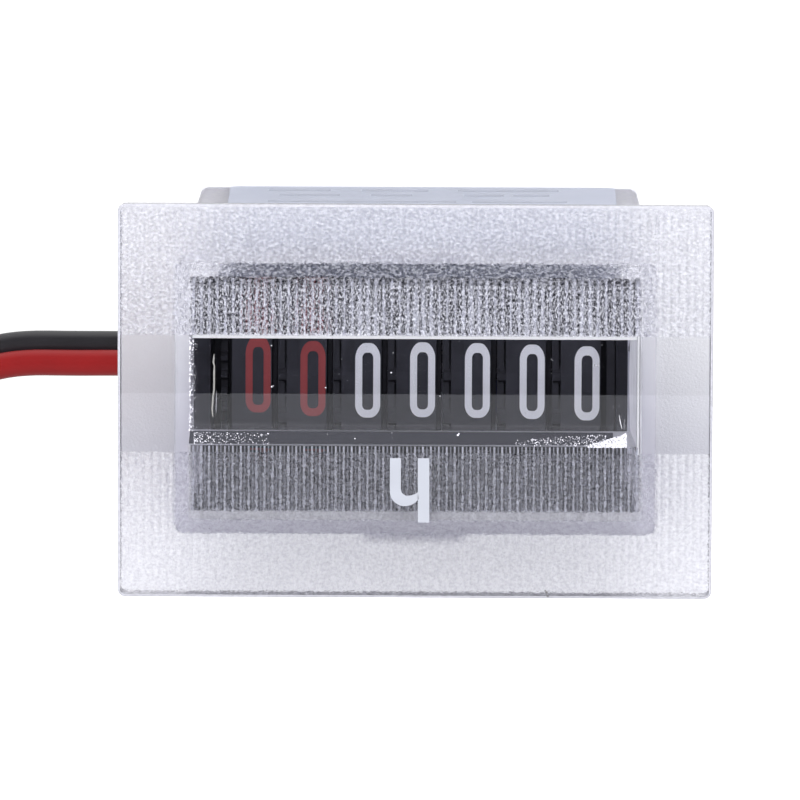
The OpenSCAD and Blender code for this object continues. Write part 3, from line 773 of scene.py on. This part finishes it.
# the corners between the body's rounding and the square edge of the ribs
for sx in (-1, 1):
    for sz in (-1, 1):
        arc = [(sx * (bx - BODY_R + BODY_R * math.cos(math.radians(a))), 0.0, sz * (bz - BODY_R + BODY_R * math.sin(math.radians(a)))) for a in np.linspace(0, 90, 9)]
        corner = (sx * (bx + gap), 0.0, sz * (bz + gap))
        for p, q in zip(arc, arc[1:]):
            h.poly([p, q, corner], SATIN, out=(0, 1, 0))


# the body's outside: four flat walls with a snap wedge in each short one, and rounded long edges
def wall_rows(half_x, half_z, r, ys, kind, extra=()):
    rows = []
    for y in ys:
        hx, hz = half_x(y), half_z(y)
        if kind in ("left", "right"):
            s = -1 if kind == "left" else 1
            zs = sorted(set([-(hz - r), hz - r]) | set(extra))
            rows.append([(s * hx, y, z) for z in zs])
        else:
            s = -1 if kind == "bottom" else 1
            rows.append([(x, y, s * hz) for x in (-(hx - r), hx - r)])
    return rows


def corner_rows(half_x, half_z, r, ys, sx, sz, n=8):
    return [
        [
            (sx * (half_x(y) - r + r * math.cos(math.radians(a))), y, sz * (half_z(y) - r + r * math.sin(math.radians(a))))
            for a in np.linspace(0, 90, n + 1)
        ]
        for y in ys
    ]


SNAP = 3.0  # half the width of a snap wedge
ys = [0, 1.7, 5.6, LEN]
for kind, direction in (("left", (-1, 0, 0)), ("right", (1, 0, 0))):
    h.grid(wall_rows(out_x, out_z, BODY_R, [0, LEN], kind), OUTER, out=direction)
for kind, direction in (("top", (0, 0, 1)), ("bottom", (0, 0, -1))):
    s = direction[2]
    rows = []
    for y in ys:
        hx = out_x(y) - BODY_R
        rows.append([(x, y, s * out_z(y)) for x in (-hx, -SNAP, SNAP, hx)])
    h.grid(rows, OUTER, out=direction, skip=lambda m: 1.7 < m.y < 5.6 and abs(m.x) < SNAP)
    wedge = [(1.7, s * out_z(1.7)), (1.7, s * (out_z(0) + 0.6)), (2.1, s * (out_z(0) + 0.6)), (5.6, s * out_z(5.6))]
    h.grid([[(x, y, z) for y, z in wedge[:2]] for x in (-SNAP, SNAP)], OUTER, out=(0, -1, 0))
    h.grid([[(x, y, z) for y, z in wedge[1:3]] for x in (-SNAP, SNAP)], OUTER, out=(0, 0, s))
    h.grid([[(x, y, z) for y, z in wedge[2:4]] for x in (-SNAP, SNAP)], OUTER, out=(0, 0, s))
    for x in (-SNAP, SNAP):
        h.poly([(x, y, z) for y, z in wedge], OUTER, out=(x, 0, 0))
for sx in (-1, 1):
    for sz in (-1, 1):
        h.grid(corner_rows(out_x, out_z, BODY_R, [0, LEN], sx, sz), OUTER, out=(sx, 0, sz), smooth=True)

# the body's inside; the left wall is open where the lens bar runs into it
IR = 0.2
h.grid(wall_rows(in_x, in_z, IR, [0, LEN], "right"), CLEAR, out=(-1, 0, 0))
for kind, direction in (("top", (0, 0, -1)), ("bottom", (0, 0, 1))):
    h.grid(wall_rows(in_x, in_z, IR, [0, LEN], kind), CLEAR, out=direction)
for sx in (-1, 1):
    for sz in (-1, 1):
        h.grid(corner_rows(in_x, in_z, IR, [0, LEN], sx, sz), CLEAR, out=(-sx, 0, -sz), smooth=True)
section = [(0.0, BAR_LO)] + [arc_point(a) for a in np.linspace(A_LO, A_HI, 97)] + [(0.0, BAR_HI)]
low, high = -(in_z(0) - IR), in_z(0) - IR
start = [(0.0, low)] + section + [(0.0, high)]
finish = [(LEN, -(in_z(LEN) - IR))] + [(LEN, z) for y, z in section] + [(LEN, in_z(LEN) - IR)]
h.grid(
    [[(-in_x(y), y, z) for y, z in start], [(-in_x(y), y, z) for y, z in finish]],
    CLEAR, out=(1, 0, 0),
)

# the lens bar
arc = [arc_point(a) for a in np.linspace(A_LO, A_HI, 97)]
h.grid([[(-in_x(y), y, z), (bar_right(y), y, z)] for y, z in arc], LENS, out=(0, 1, 0), smooth=True)
# the bar's top face takes the near-white colour, a painted highlight; most of its underside takes the dark coat,
# painted shade
for (y0, z0), (y1, z1), direction, kinds in (
    ((0, BAR_LO), arc[0], (0, 0, -1), (FROST, DARK_COAT_PAINTED_SHADE, FROST)),
    ((0, BAR_HI), arc[-1], (0, 0, 1), (GLINT_WHITE, GLINT_WHITE, GLINT_WHITE)),
):
    cuts = [0, 0.09, 0.92, 1]
    for t0, t1, kind in zip(cuts, cuts[1:], kinds):
        edge_pts = [(y0 + (y1 - y0) * t, z0 + (z1 - z0) * t) for t in (t0, t1)]
        # the dark coat, painted shade for the dark band below the window, stops short of the bar's end
        h.grid([[(-in_x(y), y, z), (12.0, y, z)] for y, z in edge_pts], kind, out=direction)
        h.grid([[(12.0, y, z), (bar_right(y), y, z)] for y, z in edge_pts], FROST if kind == DARK_COAT_PAINTED_SHADE else kind, out=direction)
h.poly([(bar_right(y), y, z) for y, z in section], FROST_END, out=(1, 0.1, 0))

# the plate's inner face: ribs above and below the bar
zx, zz, zb = in_x(0) - 0.12, in_z(0) - 0.12, 6.88
inner_loop = rounded(in_x(0), in_z(0), IR, 8, left=(BAR_LO, BAR_HI))
ring_strip(
    h, clamp_to(inner_loop, -zx, zx, -zb, zz), inner_loop, 0.0, FROST_END, (0, 1, 0),
    skip=lambda m: m.z > zz or (m.x < -zx and BAR_LO < m.z < BAR_HI),
)
ring_strip(h, clamp_to(inner_loop, -zx, zx, -zb, zz), inner_loop, 0.0, CLEAR, (0, 1, 0), skip=lambda m: m.z <= zz)
ribs(h, -zx, zx, BAR_HI + 0.03, zz, CLEAR)
ribs(h, -zx, zx, -zb, BAR_LO - 0.03, CLEAR)
flat(h, -zx, zx, BAR_HI, BAR_HI + 0.03, CLEAR)
flat(h, -zx, zx, BAR_LO - 0.03, BAR_LO, CLEAR)
flat(h, bar_right(0), zx, BAR_LO, BAR_HI, CLEAR)
# the rear rim
o_loop = rounded(out_x(LEN), out_z(LEN), BODY_R, 8)
i_loop = rounded(in_x(LEN), in_z(LEN), IR, 8)
ring_strip(h, i_loop, o_loop, LEN, CLEAR, (0, 1, 0))
housing = h.object("clear_housing", [M["front"], M["satin"], M["clear"], M["frost"], M["frost_end"], M["dark_coat"], M["lens"], M["wall"], M["glint_white"], M["groove"], M["groove_low_painted_glint"], M["edge"], M["groove_painted_dark"]], smooth=25)
ride(housing, replaces=("housing",))


def ridge(name, rx, ry, rz):
    """A small square ridge just behind the plate, in the near-white colour: a painted highlight."""
    r_ = Build()
    for i in (0, 1):
        side = 2 * i - 1
        r_.grid([[(rx[i], ry[0], rz[0]), (rx[i], ry[1], rz[0])], [(rx[i], ry[0], rz[1]), (rx[i], ry[1], rz[1])]], 0, out=(side, 0, 0))
        r_.grid([[(rx[0], ry[i], rz[0]), (rx[1], ry[i], rz[0])], [(rx[0], ry[i], rz[1]), (rx[1], ry[i], rz[1])]], 0, out=(0, side, 0))
        r_.grid([[(rx[0], ry[0], rz[i]), (rx[1], ry[0], rz[i])], [(rx[0], ry[1], rz[i]), (rx[1], ry[1], rz[i])]], 0, out=(0, 0, side))
    ride(r_.object(name, [M["glint_white"]]))


# painted highlights: white ridges stand in for the bright glints along the lens bar's top edge and at its right end
ridge("end_ridge_painted_glint", (13.43, 13.56), (0.004, 0.3), (-3.36, 4.28))
ridge("top_line_painted_glint", (-13.5, 13.4), (0.003, 0.03), (3.67, 3.85))
ridge("top_line_back_painted_glint", (-13.5, 13.41), (0.005, 0.03), (3.87, 3.95))


# ------------------------------------------------------------------ unit mark on the bezel
def thick_outline(b, outline, y0, y1, mat=0):
    """A flat shape in the X-Z plane, as a thin slab; outline runs (x, z)."""
    b.poly([(x, y0, z) for x, z in outline], mat, out=(0, -1, 0))
    mid = (sum(x for x, z in outline) / len(outline), sum(z for x, z in outline) / len(outline))
    b.grid([[(x, y0, z) for x, z in outline], [(x, y1, z) for x, z in outline]], mat, out=lambda m: (m.x - mid[0], 0, m.z - mid[1]), closed=True)


u = Build()
# stems and the round joint of the unit letter, which stands on its head here
thick_outline(u, [(0.17, -3.425), (0.87, -3.425), (0.885, -7.36), (0.185, -7.36)], -2.0, -1.994)
bow = []
xl, xi, xr, cz = -1.515, -0.85, 0.2, -5.55
outer_pts, inner_pts = [(xl, -3.43)], [(xi, -3.43)]
for k in range(17):
    a = math.radians(180 + 90 * k / 16)
    outer_pts.append((-0.62 + 0.895 * math.cos(a), -5.45 + 0.915 * math.sin(a)))
    inner_pts.append((-0.45 + 0.4 * math.cos(a), -5.3 + 0.42 * math.sin(a)))
for k in range(1, 9):
    a = math.radians(270 + 60 * k / 8)
    outer_pts.append((-0.62 + 0.98 * math.cos(a), -5.45 + 0.915 * math.sin(a)))
    inner_pts.append((-0.45 + 0.72 * math.cos(a), -5.3 + 0.42 * math.sin(a)))
u.grid([[(x, -2.0, z) for x, z in outer_pts], [(x, -2.0, z) for x, z in inner_pts]], 0, out=(0, -1, 0))
mark = u.object("unit_mark", [M["print"]])
ride(mark)

# ------------------------------------------------------------------ figures on the wheels
AXLE_Y, AXLE_Z, WHEEL_R = 13.6, 0.4, 5.9
FIG_W, FIG_H = 1.53, 2.97
STROKE_V, STROKE_H = 0.43, 0.3


def figure_paths(d):
    """Strokes of a figure as lists of centre-line points in a box from -1 to 1 each way, x right and y up."""
    def arc(cx, cy, rx, ry, a0, a1, n=10):
        return [(cx + rx * math.cos(math.radians(a0 + (a1 - a0) * k / n)), cy + ry * math.sin(math.radians(a0 + (a1 - a0) * k / n))) for k in range(n + 1)]

    if d == 1:
        return [[(-0.45, 0.62), (0.1, 1.0), (0.1, -1.0)]]
    if d == 2:
        return [arc(0, 0.45, 1, 0.55, 165, -35) + [(-1, -1), (1, -1)]]
    if d == 3:
        return [arc(0, 0.5, 0.95, 0.5, 160, -90), arc(0, -0.5, 1, 0.5, 90, -160)]
    if d == 4:
        return [[(0.45, -1.0), (0.45, 1.0), (-1, -0.4), (1, -0.4)]]
    if d == 5:
        return [[(0.9, 1), (-0.8, 1), (-0.9, 0.15)] + arc(0, -0.4, 1, 0.6, 120, -160)]
    if d == 6:
        return [arc(0, 0.4, 1, 0.6, 50, 180) + arc(0, -0.4, 1, 0.6, 180, 360) + arc(0, -0.4, 1, 0.6, 0, 170)]
    if d == 7:
        return [[(-1, 1), (1, 1), (-0.2, -1)]]
    if d == 8:
        return [arc(0, 0.5, 0.85, 0.5, -90, 270, 20), arc(0, -0.5, 1, 0.5, 90, 450, 20)]
    if d == 9:
        return [arc(0, -0.4, 1, 0.6, -130, 0) + arc(0, 0.4, 1, 0.6, 0, 180) + arc(0, 0.4, 1, 0.6, 180, 350)]
    return []


def zero_rings(n=10):
    """Outer and inner contour of a nought, in millimetres."""
    def loop(hx, hy, rx, ry):
        pts = []
        for cx, cy, a0 in ((hx - rx, hy - ry, 0), (-hx + rx, hy - ry, 90), (-hx + rx, -hy + ry, 180), (hx - rx, -hy + ry, 270)):
            for k in range(n + 1):
                a = math.radians(a0 + 90 * k / n)
                pts.append((cx + rx * math.cos(a), cy + ry * math.sin(a)))
            if a0 in (90, 270):
                s = 1 if a0 == 90 else -1
                pts += [(-hx * s, s * (hy - ry) * (1 - 2 * k / 12)) for k in range(1, 12)]
        return pts

    hx, hy = FIG_W / 2, FIG_H / 2
    return loop(hx, hy, 0.62, 0.5), loop(hx - STROKE_V, hy - STROKE_H, 0.25, 0.2)


def stroke_strip(pts):
    """The two edges of a stroke round a centre line, in millimetres."""
    sx, sy = FIG_W / 2 - STROKE_V / 2, FIG_H / 2 - STROKE_H / 2
    c = [(x * sx, y * sy) for x, y in pts]
    left, right_ = [], []
    for i, (x, y) in enumerate(c):
        x0, y0 = c[max(0, i - 1)]
        x1, y1 = c[min(len(c) - 1, i + 1)]
        t = Vector((x1 - x0, y1 - y0)).normalized()
        n = Vector((-t.y, t.x))
        if 0 < i < len(c) - 1:  # mitre
            t0 = Vector((x - x0, y - y0)).normalized()
            cosine = max(0.35, abs(Vector((-t0.y, t0.x)).dot(n)))
        else:
            cosine = 1
        half = 0.2 / cosine
        left.append((x + n.x * half, y + n.y * half))
        right_.append((x - n.x * half, y - n.y * half))
    return left, right_


def on_wheel(x, v, phi0, r):
    """A printed point: x along the wheel, v up the figure, round the wheel at phi0 (0 faces the front, up is +Z)."""
    a = phi0 + v / WHEEL_R
    return x, AXLE_Y - r * math.cos(a), AXLE_Z + r * math.sin(a)


def wheel_figures(k, offset):
    b = Build()
    cx = 0.41 + 3.348 * (k - 3)
    r = WHEEL_R + 0.008
    for d in range(10):
        phi0 = math.radians(-36 * d) + offset
        # the figures stand on their heads in this position
        def put(p):
            return on_wheel(cx - p[0], -p[1], phi0, r)

        if d == 0:
            o_, i_ = zero_rings()
            steps = []
            b.grid([[put(p) for p in o_], [put(p) for p in i_]], 0, out=lambda m: (0, m.y - AXLE_Y, m.z - AXLE_Z), closed=True, smooth=True)
            continue
        for path in figure_paths(d):
            dense = []
            for p, q in zip(path, path[1:]):
                n = max(1, int(math.hypot(q[0] - p[0], q[1] - p[1]) / 0.22))
                dense += [(p[0] + (q[0] - p[0]) * j / n, p[1] + (q[1] - p[1]) * j / n) for j in range(n)]
            dense.append(path[-1])
            left, right_ = stroke_strip(dense)
            b.grid([[put(p) for p in left], [put(p) for p in right_]], 0, out=lambda m: (0, m.y - AXLE_Y, m.z - AXLE_Z), smooth=True)
    o = b.object(WHEELS[k] + "_figures", [M["figures_red"] if k < 2 else M["figures"]], smooth=40)
    ride(o, WHEELS[k] + "_wheel")
    return o


OFFSETS = [0.35, -0.9, -1.35, -1.1, -1.25, -1.55, -1.95]
for k in range(7):
    wheel_figures(k, math.radians(OFFSETS[k]))



def wheel_band(k):
    """The smooth printed band of a wheel and the row of tooth lands beside it."""
    b = Build()
    cx = 0.41 + 3.348 * (k - 3)
    r = WHEEL_R + 0.004

    def ring(x, a):
        return x, AXLE_Y - r * math.cos(a), AXLE_Z + r * math.sin(a)

    angles = [math.radians(2 * i) for i in range(180)]
    b.grid([[ring(cx - 0.82, a) for a in angles], [ring(cx + 0.835, a) for a in angles]], 0, out=lambda m: (0, m.y - AXLE_Y, m.z - AXLE_Z), closed=True, smooth=True)
    edge_in, edge_out = (cx + 1.2, cx + 1.62) if k < 6 else (cx + 1.2, cx + 1.7)
    inner_r = 4.85

    def low(x, a):
        return x, AXLE_Y - inner_r * math.cos(a), AXLE_Z + inner_r * math.sin(a)

    b.grid([[low(edge_in, a) for a in angles], [low(edge_out, a) for a in angles]], 0, out=lambda m: (0, m.y - AXLE_Y, m.z - AXLE_Z), closed=True, smooth=True)
    if k:
        for i in range(20):
            mid = math.radians(18 * i + OFFSETS[k] + 0.6)
            part = [mid + math.radians(d) for d in (-3.5, -1.75, 0, 1.75, 3.5)]
            b.grid([[ring(cx - 1.6, a) for a in part], [ring(cx - 0.84, a) for a in part]], 0, out=lambda m: (0, m.y - AXLE_Y, m.z - AXLE_Z), smooth=True)
    o = b.object(WHEELS[k] + "_band", [M["band"]], smooth=40)
    ride(o, WHEELS[k] + "_wheel")


for k in range(7):
    wheel_band(k)


# ------------------------------------------------------------------ specks, small marks and two pale lines painted as a glint, on the front
def from_picture(px, row):
    """Place on the front face, in millimetres, for a point counted in picture parts from the camera's settings."""
    s = F_PX / (DIST * 1000)
    return (px - CX) / s, (CY - row) / s / math.cos(TH)


marks = Build()


def speck(px, row, size, kind, sides=5, stretch=1.0):
    x, z = from_picture(px, row)
    y = -1.998 - 0.0015 * rng.random()
    a0 = rng.uniform(0, math.tau)
    pts = []
    for i in range(sides):
        a = a0 + math.tau * i / sides
        r = size * rng.uniform(0.6, 1.15) / 33
        pts.append((x + r * math.cos(a), y, z + stretch * r * math.sin(a)))
    marks.poly(pts, kind, out=(0, -1, 0))


WHITE, GREY, GLINT_LINE, DARK = range(4)
for _ in range(230):  # worn edge where the lens bar meets the left wall
    d = rng.random() ** 2
    speck(189.5 + 9 * d, rng.uniform(339, 432), rng.uniform(0.7, 1.9) * (1.15 - d), WHITE if rng.random() < 0.55 else GREY, stretch=1.3)
for _ in range(240):  # left part of the strip below the window
    d = rng.random() ** 1.7
    speck(194 + 75 * d, rng.uniform(433.5, 445.5), rng.uniform(0.6, 1.5), WHITE if rng.random() < 0.35 else GREY)
for _ in range(330):  # right part of the strip
    d = rng.random() ** 0.6
    row = 445.5 - 12.5 * rng.random() * (0.45 + 0.55 * d)
    speck(515 + 92 * d, row, rng.uniform(0.6, 1.5), WHITE if rng.random() < 0.4 else GREY)
for _ in range(900):  # scuffed corner
    d = rng.random() ** 0.75
    speck(588 + 39 * d, 446.5 - (1.5 + 12.5 * d) * rng.random() ** 1.3, rng.uniform(0.8, 1.9), WHITE if rng.random() < 0.6 + 0.3 * d else GREY)
for _ in range(26):  # dust all along the window
    speck(rng.uniform(200, 620), rng.uniform(340, 445), rng.uniform(0.5, 0.9), GREY)
for px, row, size, kind in (
    (271.2, 346.3, 1.7, WHITE), (393, 353, 1.4, WHITE), (391, 372.7, 2.3, WHITE), (271.5, 387.4, 2.4, WHITE), (273, 386.6, 1.6, WHITE),
    (325.6, 388, 1.9, WHITE), (551, 358.6, 1.5, GREY), (552.4, 359.8, 1.5, GREY), (440, 396, 1.5, WHITE), (458, 434.8, 3.0, WHITE),
    (459, 433.7, 2.2, WHITE), (327.5, 434.6, 1.6, GREY), (355, 438.8, 1.9, WHITE), (392, 433, 1.7, GREY), (392.5, 438, 1.3, GREY),
    (194.6, 391.4, 1.9, WHITE), (613, 406, 1.9, GREY), (619, 405, 1.6, GREY), (211, 335.5, 2.2, GREY), (547.6, 592.6, 4.2, DARK), (549, 596, 3.6, DARK), (546.4, 590.6, 2.4, DARK),
    (209.4, 529.6, 1.4, DARK), (640, 319, 2.6, DARK), (637.5, 315.5, 1.6, DARK), (594.5, 364.3, 3.4, GREY), (597.5, 364.6, 3.4, GREY),
):
    speck(px, row, size * 0.8, kind)
for pts, width, kind in (
    # painted highlight: the first two lines stand in for the glint on the counter frame's edge
    (((214, 355), (213.6, 360), (213.3, 363.5), (214.3, 367), (214, 373), (214.1, 383), (213.9, 391), (213, 397), (212.7, 403), (212.1, 409), (212.4, 414), (213, 418)), 1.5, GLINT_LINE),
    (((216.3, 392), (216.4, 400), (216, 409), (216.2, 414)), 0.6, GREY),
    (((619.2, 414), (620.4, 421), (622.2, 428)), 0.8, WHITE),
    (((624.6, 418), (624.2, 429)), 0.8, GREY),
    (((698, 519), (687, 527), (676, 536)), 0.7, GREY),
):
    left, right_ = [], []
    for i, (px, row) in enumerate(pts):
        w = width / 33 * (0.35 if i in (0, len(pts) - 1) else rng.uniform(0.85, 1.15))
        x, z = from_picture(px, row)
        left.append((x - w, -1.9985, z))
        right_.append((x + w, -1.9985, z))
    marks.grid([left, right_], kind, out=(0, -1, 0))
front_marks = marks.object("front_marks", [M["speck"], M["speck_grey"], M["fibre"], M["mark"]], weld=0)
ride(front_marks)

# ------------------------------------------------------------------ type label
lb = Build()
ca, sa = math.cos(math.radians(0.5)), math.sin(math.radians(0.5))


def on_top(x, y, t):
    """A point on the top wall: y along it from the bezel, t above it."""
    return x, y * ca + t * sa, BODY_H / 2 + 0.012 - y * sa + t * ca


lo = [(x * 1.0 + 0.25, z + 22.3) for x, z in rounded(12.25, 16.3, 0.6, 6)]
lb.poly([on_top(x, y, 0.1) for x, y in lo], 0, out=(0, 0, 1))
lb.poly([on_top(x, y, 0.0) for x, y in lo], 0, out=(0, 0, -1))
lb.grid([[on_top(x, y, 0.0) for x, y in lo], [on_top(x, y, 0.1) for x, y in lo]], 0, out=lambda m: (m.x, m.y - 22, 0), closed=True)
for y0, y1, spans in (
    (36.2, 37.1, ((-9.5, -5.6), (2.5, 8.9), (-3.6, 0.6))),
    (33.6, 34.6, ((-8.8, -5.0), (2.9, 5.4), (6.0, 8.3), (-3.0, -0.4))),
    (30.2, 30.9, ((-9.5, 2.4), (3.4, 9.4))),
    (28.0, 28.7, ((-9.5, -2.4), (-1.4, 6.4))),
    (14.0, 14.6, ((-9.5, 9.4),)),
    (11.8, 12.4, ((-9.5, 3.4),)),
):
    for x0, x1 in spans:
        lb.poly([on_top(x, y, 0.104) for x, y in ((x0, y0), (x1, y0), (x1, y1), (x0, y1))], 1, out=(0, 0, 1))
label = lb.object("label_film", [M["label"], M["grey_print"]])
ride(label, replaces=("type_label",))

# ------------------------------------------------------------------ stage
FLOOR = -12.012


def stage_plane(name, pts, mat):
    mesh = bpy.data.meshes.new(name)
    mesh.from_pydata([tuple(c * MM for c in p) for p in pts], [], [(0, 1, 2, 3)])
    mesh.materials.append(mat)
    o = bpy.data.objects.new(name, mesh)
    scene.collection.objects.link(o)
    return o


def floor_material():
    m, nt, b, out = nodes_of("floor_paper")
    fine = noise(nt, 900, 3)
    nt.links.new(mixed(nt, fine.outputs["Fac"], (0.44, 0.44, 0.445), (0.46, 0.46, 0.465)), b.inputs["Base Color"])
    b.inputs["Roughness"].default_value = 0.9
    b.inputs["Specular IOR Level"].default_value = 0.2
    tc = nt.nodes.new("ShaderNodeTexCoord")
    # a little light of its own keeps the paper white; behind the meter it falls off
    behind = nt.nodes.new("ShaderNodeSeparateXYZ")
    nt.links.new(tc.outputs["Object"], behind.inputs[0])
    near = ramp(nt, behind.outputs["Y"], -0.02, 0.01, 0.37, 0.6)
    fall = ramp(nt, behind.outputs["Y"], 0.015, 0.075, 0.0, 0.4)
    path = nt.nodes.new("ShaderNodeLightPath")
    own = math_node(nt, "ADD", math_node(nt, "SUBTRACT", near, fall), math_node(nt, "MULTIPLY", path.outputs["Is Camera Ray"], 0.6))
    nt.links.new(own, b.inputs["Emission Strength"])
    nt.links.new(mixed(nt, ramp(nt, behind.outputs["Y"], -0.03, 0.0), (0.86, 0.9, 1.14), (1, 1, 1)), b.inputs["Emission Color"])
    return m


stage_plane("floor", [(-900, -900, FLOOR), (900, -900, FLOOR), (900, 81, FLOOR), (-900, 81, FLOOR)], floor_material())
flag_mat, nt, b_, out_ = nodes_of("flag_black")
b_.inputs["Base Color"].default_value = (0.012, 0.012, 0.014, 1)
b_.inputs["Roughness"].default_value = 1.0
b_.inputs["Specular IOR Level"].default_value = 0.0
# black for what the part reflects or scatters, nothing at all for a look straight through the plastic
path_ = nt.nodes.new("ShaderNodeLightPath")
turns_ = nt.nodes.new("ShaderNodeMath")
turns_.operation = "ADD"
nt.links.new(path_.outputs["Glossy Depth"], turns_.inputs[0])
nt.links.new(path_.outputs["Diffuse Depth"], turns_.inputs[1])
any_ = nt.nodes.new("ShaderNodeMath")
any_.operation = "GREATER_THAN"
nt.links.new(turns_.outputs[0], any_.inputs[0])
any_.inputs[1].default_value = 0.5
none_ = nt.nodes.new("ShaderNodeBsdfTransparent")
pick_ = nt.nodes.new("ShaderNodeMixShader")
nt.links.new(any_.outputs[0], pick_.inputs["Fac"])
nt.links.new(none_.outputs[0], pick_.inputs[1])
nt.links.new(b_.outputs[0], pick_.inputs[2])
nt.links.new(pick_.outputs[0], out_.inputs["Surface"])
flag = stage_plane("flag", [(-400, -88.2, FLOOR + 0.2), (400, -88.2, FLOOR + 0.2), (400, -88.2, 600), (-400, -88.2, 600)], flag_mat)
flag.visible_camera = False
flag.visible_diffuse = False
flag.visible_shadow = False

flag_low = stage_plane("flag_low", [(-400, -88.2, FLOOR + 0.1), (400, -88.2, FLOOR + 0.1), (400, -3, FLOOR + 0.1), (-400, -3, FLOOR + 0.1)], flag_mat)
flag_low.visible_camera = False
flag_low.visible_diffuse = False
flag_low.visible_glossy = False
flag_low.visible_shadow = False

world = bpy.data.worlds.new("studio")
scene.world = world
world.use_nodes = True
bg = world.node_tree.nodes["Background"]
bg.inputs["Color"].default_value = (1.0, 1.0, 1.005, 1)
bg.inputs["Strength"].default_value = 1.15


def area(name, at, to, size, power, color=(1, 1, 1)):
    li = bpy.data.lights.new(name, "AREA")
    li.shape = "SQUARE"
    li.size = size
    li.energy = power
    li.color = color
    o = bpy.data.objects.new(name, li)
    scene.collection.objects.link(o)
    o.location = at
    o.rotation_euler = (Vector(to) - Vector(at)).to_track_quat("-Z", "Y").to_euler()
    return o


area("softbox_top", (0.05, 0.15, 0.55), (0, 0.01, 0), 0.5, 0.6)
fill = area("softbox_front", (-0.05, -0.4, 0.2), (0, 0.01, 0), 0.3, 2.1)
fill.visible_transmission = False
fill.visible_glossy = False

# ------------------------------------------------------------------ end
bpy.context.view_layer.update()
